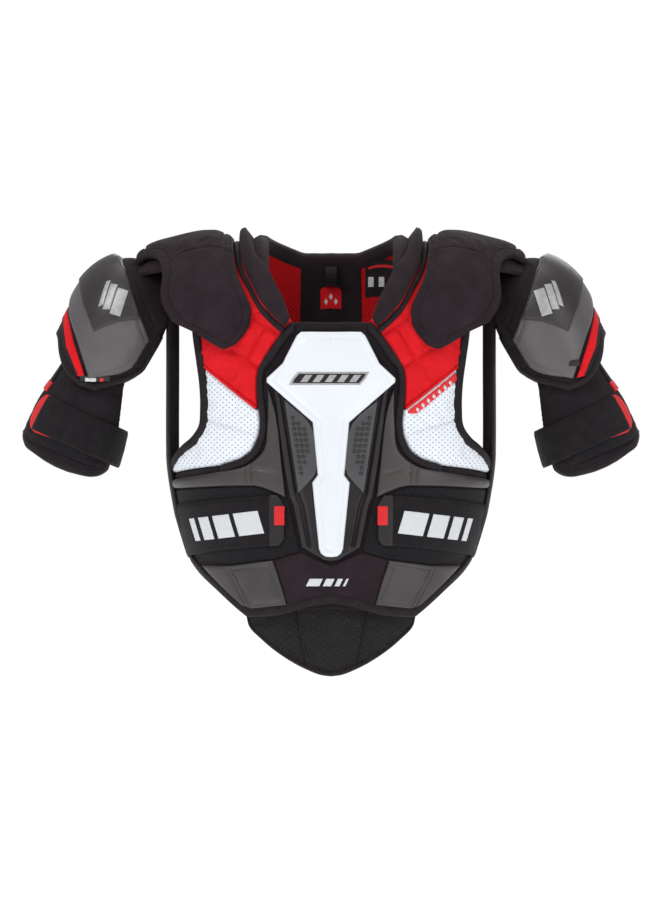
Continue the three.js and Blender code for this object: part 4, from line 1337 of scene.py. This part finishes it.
def hanger():
    strip = np.array([
        (90.2, -9.4), (83, -12), (78, -18), (78.6, -25), (86, -30.5), (99.6, -33.0)])
    line = even(flow(strip, per=8), 1.2)
    widths = np.linspace(-7, 7, 9)
    points, uv, faces = [], [], []
    ahead = np.gradient(line, axis=0)
    normal = np.stack([-ahead[:, 1], ahead[:, 0]], axis=1)
    normal /= np.linalg.norm(normal, axis=1)[:, None]
    for half in (-0.8, 0.8):
        for i, (y, z) in enumerate(line + normal * half):
            for x in widths:
                points.append((x, y, z))
                uv.append((i * 1.2, x))
    n, w = len(line), len(widths)
    for i in range(n - 1):
        for k in range(w - 1):
            a, b = i * w + k, n * w + i * w + k
            faces.append((a, a + 1, a + 1 + w, a + w))
            faces.append((b, b + w, b + 1 + w, b + 1))
    for i in range(n - 1):
        for k in (0, w - 1):
            a, b = i * w + k, n * w + i * w + k
            faces.append((a, a + w, b + w, b) if k == 0 else (a, b, b + w, a + w))
    for i in (0, n - 1):
        for k in range(w - 1):
            a, b = i * w + k, n * w + i * w + k
            faces.append((a, b, b + 1, a + 1) if i == 0 else (a, a + 1, b + 1, b))
    obj = make("hanger_loop", points, faces, "elastic", uv)
    place(obj, "back", "hanger_loop")
    label = on_back([(-13, -38), (-9, -34.5), (9, -34.5), (13, -38), (13, -61), (-13, -61)], -2)
    obj = panel("hanger_label", torso, label, -1.4, -2.0, "red_fabric", 2, 0.8)
    place(obj, "back", "hanger_label")
    for k, (x, z) in enumerate([(-6, -52), (0, -46), (6, -52)]):
        mark = on_back([(x - 2.4, z), (x, z + 4), (x + 2.4, z), (x, z - 4)], -4)
        place(panel(f"label_mark_{k}", torso, mark, -3.3, -0.6, "print_white", 1.4, PRINT_EDGE), "back")
    # A sewn-in label with plain shapes on the lining, in place of the care text.
    label = on_back([(42, -6), (84, -6), (84, -48), (42, -48)], -1)
    obj = panel("care_label", torso, label, -0.1, -1.0, "binding", 3, 0.5)
    place(obj, "back", held="laid", rests_on="back_lining")
    for k in range(3):
        x = 49 + 13 * k
        mark = on_back([(x - 3.4, -34), (x - 3.4, -22), (x + 3.4, -22), (x + 3.4, -34)], -1)
        place(panel(f"care_mark_{k}", torso, mark, -1.0, -0.6, "print_white", 1.6, PRINT_EDGE), "back")
    bar = on_back([(46, -13), (80, -13), (80, -10), (46, -10)], -1)
    place(panel("care_bar", torso, bar, -1.0, -0.6, "print_red", 2, PRINT_EDGE), "back")


# ---------------- shoulder caps
def caps():
    inside_edge = [(117, 60), (117, 5), (112, -25)]
    outside_edge = [(203, -20), (206, -6), (213, 1), (225, 1), (236, -5)]
    front = inside_edge + [
        (103, -47), (96.5, -64), (96.5, -75), (109, -101), (118, -109), (129, -113), (141, -107),
        (164, -93), (196, -71), (203, -57)] + outside_edge
    back = inside_edge + [
        (106, -50), (110, -72), (128, -86), (141, -84), (164, -78), (194, -66), (203, -52)] + outside_edge
    outline = np.vstack([on_cap(front, 10), on_cap(back[1:], 10, back=True)[::-1]])
    outline = even(flow(outline, closed=True, corner=48, per=5), 3, closed=True)
    if area(outline) < 0:
        outline = outline[::-1]
    ring = beside(outline, 10.5, closed=True)
    ring = np.vstack([ring, ring[:1]])
    crease = flow([(193, -9), (184, 0), (166, 6), (146, 9.6), (128, 7.6), (120, 4)], per=5)
    crease = on_cap(crease, 11)
    obj = panel("cap_cover", cap, outline, 4.0, 6.6, "black_knit", 3, 4.5, crown=2.4, reach=20,
                seams=[(ring, 2.2, 1.3), (crease, 2.6, 1.5)], puffed=2.0, folds=0.03, waves=0.3)
    pair(obj, "*_cap", "*_cap_cover", 0.65)
    pair(stitches("cap_crease_stitches", cap, beside(crease, 3.2), 11.8), "*_cap")
    pair(stitches("cap_stitches", cap, beside(outline, 12.4, closed=True), 11.4, closed=True), "*_cap")
    tube = [(3.4, 9.6), (1.2, 10.4), (-0.6, 8.4), (-0.9, 6.0), (-0.5, 3.9), (3.0, 3.6)]
    pair(sweep("cap_edge", cap, outline, [(-a, h) for a, h in tube], "binding", closed=True), "*_cap")
    strip = panel("cap_hinge", cap, np.array([(112, -34), (126, -34), (126, 40), (112, 40)]), 0.4, 1.6,
                  "elastic", 3, 0.7)
    pair(strip, "*_cap", held="laid", rests_on="*_yoke_pad")


def cap_ties():
    """Knit that joins each cap to the top of the arm's dome."""
    outline = flow([
        (186, -52), (201, -76), (214, -74), (237, -59), (241, 0), (237, 59), (214, 74), (201, 76),
        (186, 52)], closed=True, corner=60, per=4)
    tie = panel("cap_tie", cap, outline, -5.5, 5.0, "black_knit", 3.4, 2.4)
    bridge(tie, "*_bicep_pad")


# ---------------- arms
# How far round the arm the pieces reach, in degrees from its outer side.
PAD_REACH = 154
GUARD_REACH = 132
CUFF_REACH = 149.5
CUFF_SEAM_REACH = 141
ARM_STRAP = 44


def upper_arm():
    rim = [(-59.5, -26), (-45, -55), (-16.5, -85), (5.4, -88), (33.6, -77), (45, -66), (57, -51), (62, -48)]
    side = math.radians(PAD_REACH) * ARM_ARC
    path = np.vstack([[(-side, 84), (-side, 8)], on_upper(flow(rim, per=5), 8)])
    seams = lines_on(on_upper, 2.6, 1.4, [(20, 66), (-42, 20), (-40, -50), (-8, -82)])
    pad = panel("bicep_pad", upper, front_and_back(path), 0.0, 7.2, "black_foam", 3.2, 3.5, crown=0.8,
                seams=seams, puffed=1.4, folds=0.03)
    pair(pad, "*_upper_arm", "*_bicep_pad", 0.65)
    edge = carried_over(path[1:])
    pair(binding("bicep_binding", upper, edge, 7.5, -0.4, 7.6, right=False), "*_upper_arm")
    inner = flow([(35, 72), (-17.5, 24), (-52, -3.6), (-39, -45.6), (-4.4, -76)], corner=50, per=5)
    outer = flow([(-4.4, -76), (33, -42), (59, -17.4), (67, 2)], per=5)
    path = on_upper(np.vstack([inner, outer[1:]]), 12, GUARD_REACH)
    path[-1, 0] = 0
    ridge = line_on(on_upper, [(20, 58), (-14, 20), (-44, -6), (-34, -42), (-6, -68)], 12, GUARD_REACH)
    # The guard uses the lighter copy of grey foam, which is painted light on the guard.
    obj = panel("bicep_guard", upper, front_and_back(path), 8.4, 5.2, "grey_foam_painted_light", 3, 3.6, rim=0.12,
                crown=3.6, reach=22, seams=[(ridge, 2.4, 0.9), (ridge * (-1, 1), 2.4, 0.9)])
    pair(obj, "*_upper_arm", "*_bicep_guard", 0.85)
    patch = flow([
        (36, 70), (-17, 23.5), (-23, 18.7), (0, -0.6), (18, -24), (58, 12), (66, 22)], corner=40, per=4)
    path = on_upper(patch, 14, GUARD_REACH)
    path[-1, 0] = 0
    obj = panel("bicep_patch", upper, front_and_back(path), 11.6, 6.0, "patch_plastic", 3, 1.2, rim=0.3,
                crown=0.4)
    pair(obj, "*_upper_arm", "*_bicep_patch")
    for k, (near, wide) in enumerate(((0, 13), (15, 8), (25, 4))):
        bar = [(near, 8 + near * 0.1), (near + 7, 40), (near + 7 + wide, 37), (near + wide, 5)]
        obj = panel(f"patch_mark_{k}", upper, on_upper(bar, 18), 17.8, 0.6, "print_silver", 2, PRINT_EDGE)
        pair(obj, "*_upper_arm")
    top = line_on(on_upper, [(0, -77), (36, -45), (61, -19), (69, 0)], 10, GUARD_REACH)
    low = line_on(on_upper, [(10, -80), (40, -57), (58, -34), (70, -12)], 10, GUARD_REACH)
    top[-1, 0] = low[-1, 0] = 0
    band = np.vstack([carried_over(top), carried_over(low * (-1, 1))])
    obj = panel("bicep_side", upper, band, 8.4, 2.0, "red_fabric", 3, 1.2)
    pair(obj, "*_upper_arm", "*_bicep_side", held="laid", rests_on="*_bicep_pad")
    pair(tape("bicep_side_edge", upper, carried_over(low), 4.4, 7.6, 3.0, "binding"), "*_upper_arm")
    tag = on_upper([(-30, -66), (4, -84), (8, -78), (-26, -60)], 13)
    right_only(panel("rim_tag", upper, tag, 7.6, 3.0, "frame_plastic", 2, 0.9), "right_upper_arm")
    for k, (x, wide, colour) in enumerate(((-22, 4, "print_red"), (-14, 12, "print_white"))):
        mark = [(x, -70.5 - 0.53 * (x + 22)), (x + wide, -70.5 - 0.53 * (x + 22 + wide))]
        mark += [(px + 2, pz + 4) for px, pz in mark[::-1]]
        obj = panel(f"rim_tag_mark_{k}", upper, on_upper(mark, 13), 10.4, 0.6, colour, 1.5, PRINT_EDGE)
        right_only(obj, "right_upper_arm")
    square = on_upper([(-2, -60), (10, -66), (13, -59), (1, -53)], 13)
    place(panel("guard_badge", upper, square, 13.6, 1.4, "frame_plastic", 2, 0.5), "left_upper_arm")


def lower_arm():
    side = math.radians(CUFF_REACH) * ARM_ARC
    low = [(-58, -38), (-53, -50), (-42, -62), (-25, -65.5), (40, -60), (52, -56), (58, -49), (61, -42)]
    path = np.vstack([[(-side, 58), (-side, -34)], on_lower(flow(low, per=4), 9)])
    path[-1, 0] = 0
    path = np.vstack([path[:-1][np.abs(np.diff(path, axis=0)).sum(1) > 0.3], path[-1:]])
    seam = line_on(on_lower, [(-46, 40), (-44, -30), (-34, -52), (46, -48)], 9, CUFF_SEAM_REACH)
    obj = panel("arm_wrap", lower, front_and_back(path), 0.0, 8.0, "black_foam", 3.2, 3.6, crown=0.8,
                seams=[(seam, 2.2, 1.3), (seam * (-1, 1), 2.2, 1.3)], puffed=1.6, folds=0.03)
    pair(obj, "*_lower_arm", "*_arm_wrap", 0.65)
    edge = carried_over(path[1:])
    pair(binding("wrap_binding", lower, edge, 8.5, -0.4, 8.2, right=False), "*_lower_arm")
    pair(stitches("wrap_stitches", lower, beside(edge, 7.0), 9.6), "*_lower_arm")

    def strap(first, last):
        """The arm strap's middle line, between two angles in degrees from the arm's outer side."""
        around = np.radians(np.linspace(first, last, 36))
        return np.stack([-around * ARM_ARC, -16.5 + 5 * np.cos(around)], axis=1)

    pile = panel("arm_pile", lower, np.vstack([strap(40, 112) + (0, 20), (strap(40, 112) - (0, 33))[::-1]]),
                 8.9, 1.6, "loop_pile", 2.8, 0.8)
    pair(pile, "*_lower_arm", held="laid", rests_on="*_arm_wrap")
    obj = tape("arm_strap", lower, strap(38, 178), ARM_STRAP, 11.2, 2.2, "elastic")
    pair(obj, "*_arm_strap_flap", "*_arm_strap", held="stretched", rests_on="*_arm_wrap")
    crescent = [
        (34.5, 22), (24, 21), (15.5, 12), (13, 0), (15.5, -12), (24, -21), (60, -24.4), (60, -20),
        (34.5, -21)]
    crescent = [(-math.radians(a + 8) * ARM_ARC, -12.3 + up) for a, up in crescent]
    crescent = flow(crescent, closed=True, corner=60, per=3)
    obj = panel("arm_strap_end", lower, crescent, 10.4, 1.6, "print_red", 1.6, 0.7)
    pair(obj, "*_arm_strap_flap")
    for k, shift in enumerate((19.5, -19.5)):
        row = stitches(f"arm_strap_edge_{k}", lower, beside(strap(41, 176), shift), 13.4)
        pair(row, "*_arm_strap_flap")
    box = strap(42, 55)
    ring = np.vstack([beside(box, 15), beside(box, -15)[::-1], beside(box, 15)[:1]])
    pair(stitches("arm_strap_box", lower, ring, 13.4), "*_arm_strap_flap")
    obj = tape("arm_strap_anchor", lower, strap(182, 235), ARM_STRAP, 11.2, 2.2, "elastic")
    pair(obj, "*_lower_arm", "*_arm_strap_anchor", held="stretched", rests_on="*_arm_wrap")
    link = np.array([(-11, 22), (-7, 71)], float)
    obj = tape("arm_link", lower, link, 27, 9.8, 2.2, "elastic")
    bridge(obj, "*_arm_wrap",
           "*_arm_link")
    tag = np.array([(-25, 12), (0, 14), (0, 27), (-25, 25)], float)
    pair(panel("arm_link_tag", lower, tag, 9.6, 3.0, "print_red", 2, 0.8), "*_lower_arm")


# ---------------- stage, light and camera
FLOOR_GAP = 0.36
FLOOR_REACH = 60
SENSOR = 36
CAMERA_DISTANCE = 9.0
SEEN_HEIGHT = 1.08  # of the picture, at that distance


def stage():
    material = bpy.data.materials.new("floor")
    material.use_nodes = True
    shader = material.node_tree.nodes["Principled BSDF"]
    shader.inputs["Base Color"].default_value = (0.93, 0.93, 0.935, 1)
    shader.inputs["Roughness"].default_value = 0.9
    shader.inputs["Emission Color"].default_value = (1, 1, 1, 1)
    shader.inputs["Emission Strength"].default_value = 0.6
    mesh = bpy.data.meshes.new("floor")
    low, far = CAD_BOX[0][2] - FLOOR_GAP, FLOOR_REACH
    corners = [(-far, -far, low), (far, -far, low), (far, far, low), (-far, far, low)]
    mesh.from_pydata(corners, [], [(0, 1, 2, 3)])
    mesh.materials.append(material)
    add("floor", mesh)
    world = bpy.data.worlds.new("studio")
    SCENE.world = world
    world.use_nodes = True
    tree = world.node_tree
    tree.nodes["Background"].inputs["Color"].default_value = (1, 1, 1, 1)
    seen = tree.nodes.new("ShaderNodeLightPath")
    spread = tree.nodes.new("ShaderNodeMapRange")
    spread.inputs["To Min"].default_value = 0.5
    spread.inputs["To Max"].default_value = 1.0
    tree.links.new(seen.outputs["Is Camera Ray"], spread.inputs["Value"])
    tree.links.new(spread.outputs[0], tree.nodes["Background"].inputs["Strength"])


def light(name, at, size, watts, towards=(0, 0, -0.2)):
    """A rectangular lamp."""
    lamp = bpy.data.lights.new(name, "AREA")
    lamp.shape = "RECTANGLE"
    lamp.size, lamp.size_y = size
    lamp.energy = watts
    obj = add(name, lamp)
    obj.location = at
    obj.rotation_euler = (Vector(towards) - Vector(at)).to_track_quat("-Z", "Y").to_euler()


def camera():
    data = bpy.data.cameras.new("camera")
    data.sensor_fit = "VERTICAL"
    data.sensor_height = SENSOR
    data.lens = SENSOR * CAMERA_DISTANCE / SEEN_HEIGHT
    data.clip_end = 200
    obj = add("camera", data)
    obj.location = (-0.0012, -9.1, -0.234)
    obj.rotation_euler = (math.pi / 2, 0, 0)
    SCENE.camera = obj


stage()
light("key", (-1.3, -2.2, 1.7), (1.6, 1.2), 36)
light("fill", (1.9, -2.0, 0.6), (1.2, 1.6), 16)
light("top", (0, 0.2, 2.2), (2.0, 1.2), 20)
light("rim", (0.4, 2.4, 1.2), (1.8, 1.2), 18)
camera()
SCENE.view_settings.view_transform = "Standard"

chest_base()
clavicle_pads()
side_chest_pads()
rib_and_belly()
sternum()
belly_pad()
side_straps()
yokes()
collars()
back_unit()
hanger()
caps()
cap_ties()
upper_arm()
lower_arm()
for side in ("left", "right"):
    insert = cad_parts[side + "_cap_insert"]
    insert.data.materials.clear()
    insert.data.materials.append(MATERIALS["insert_plastic"])
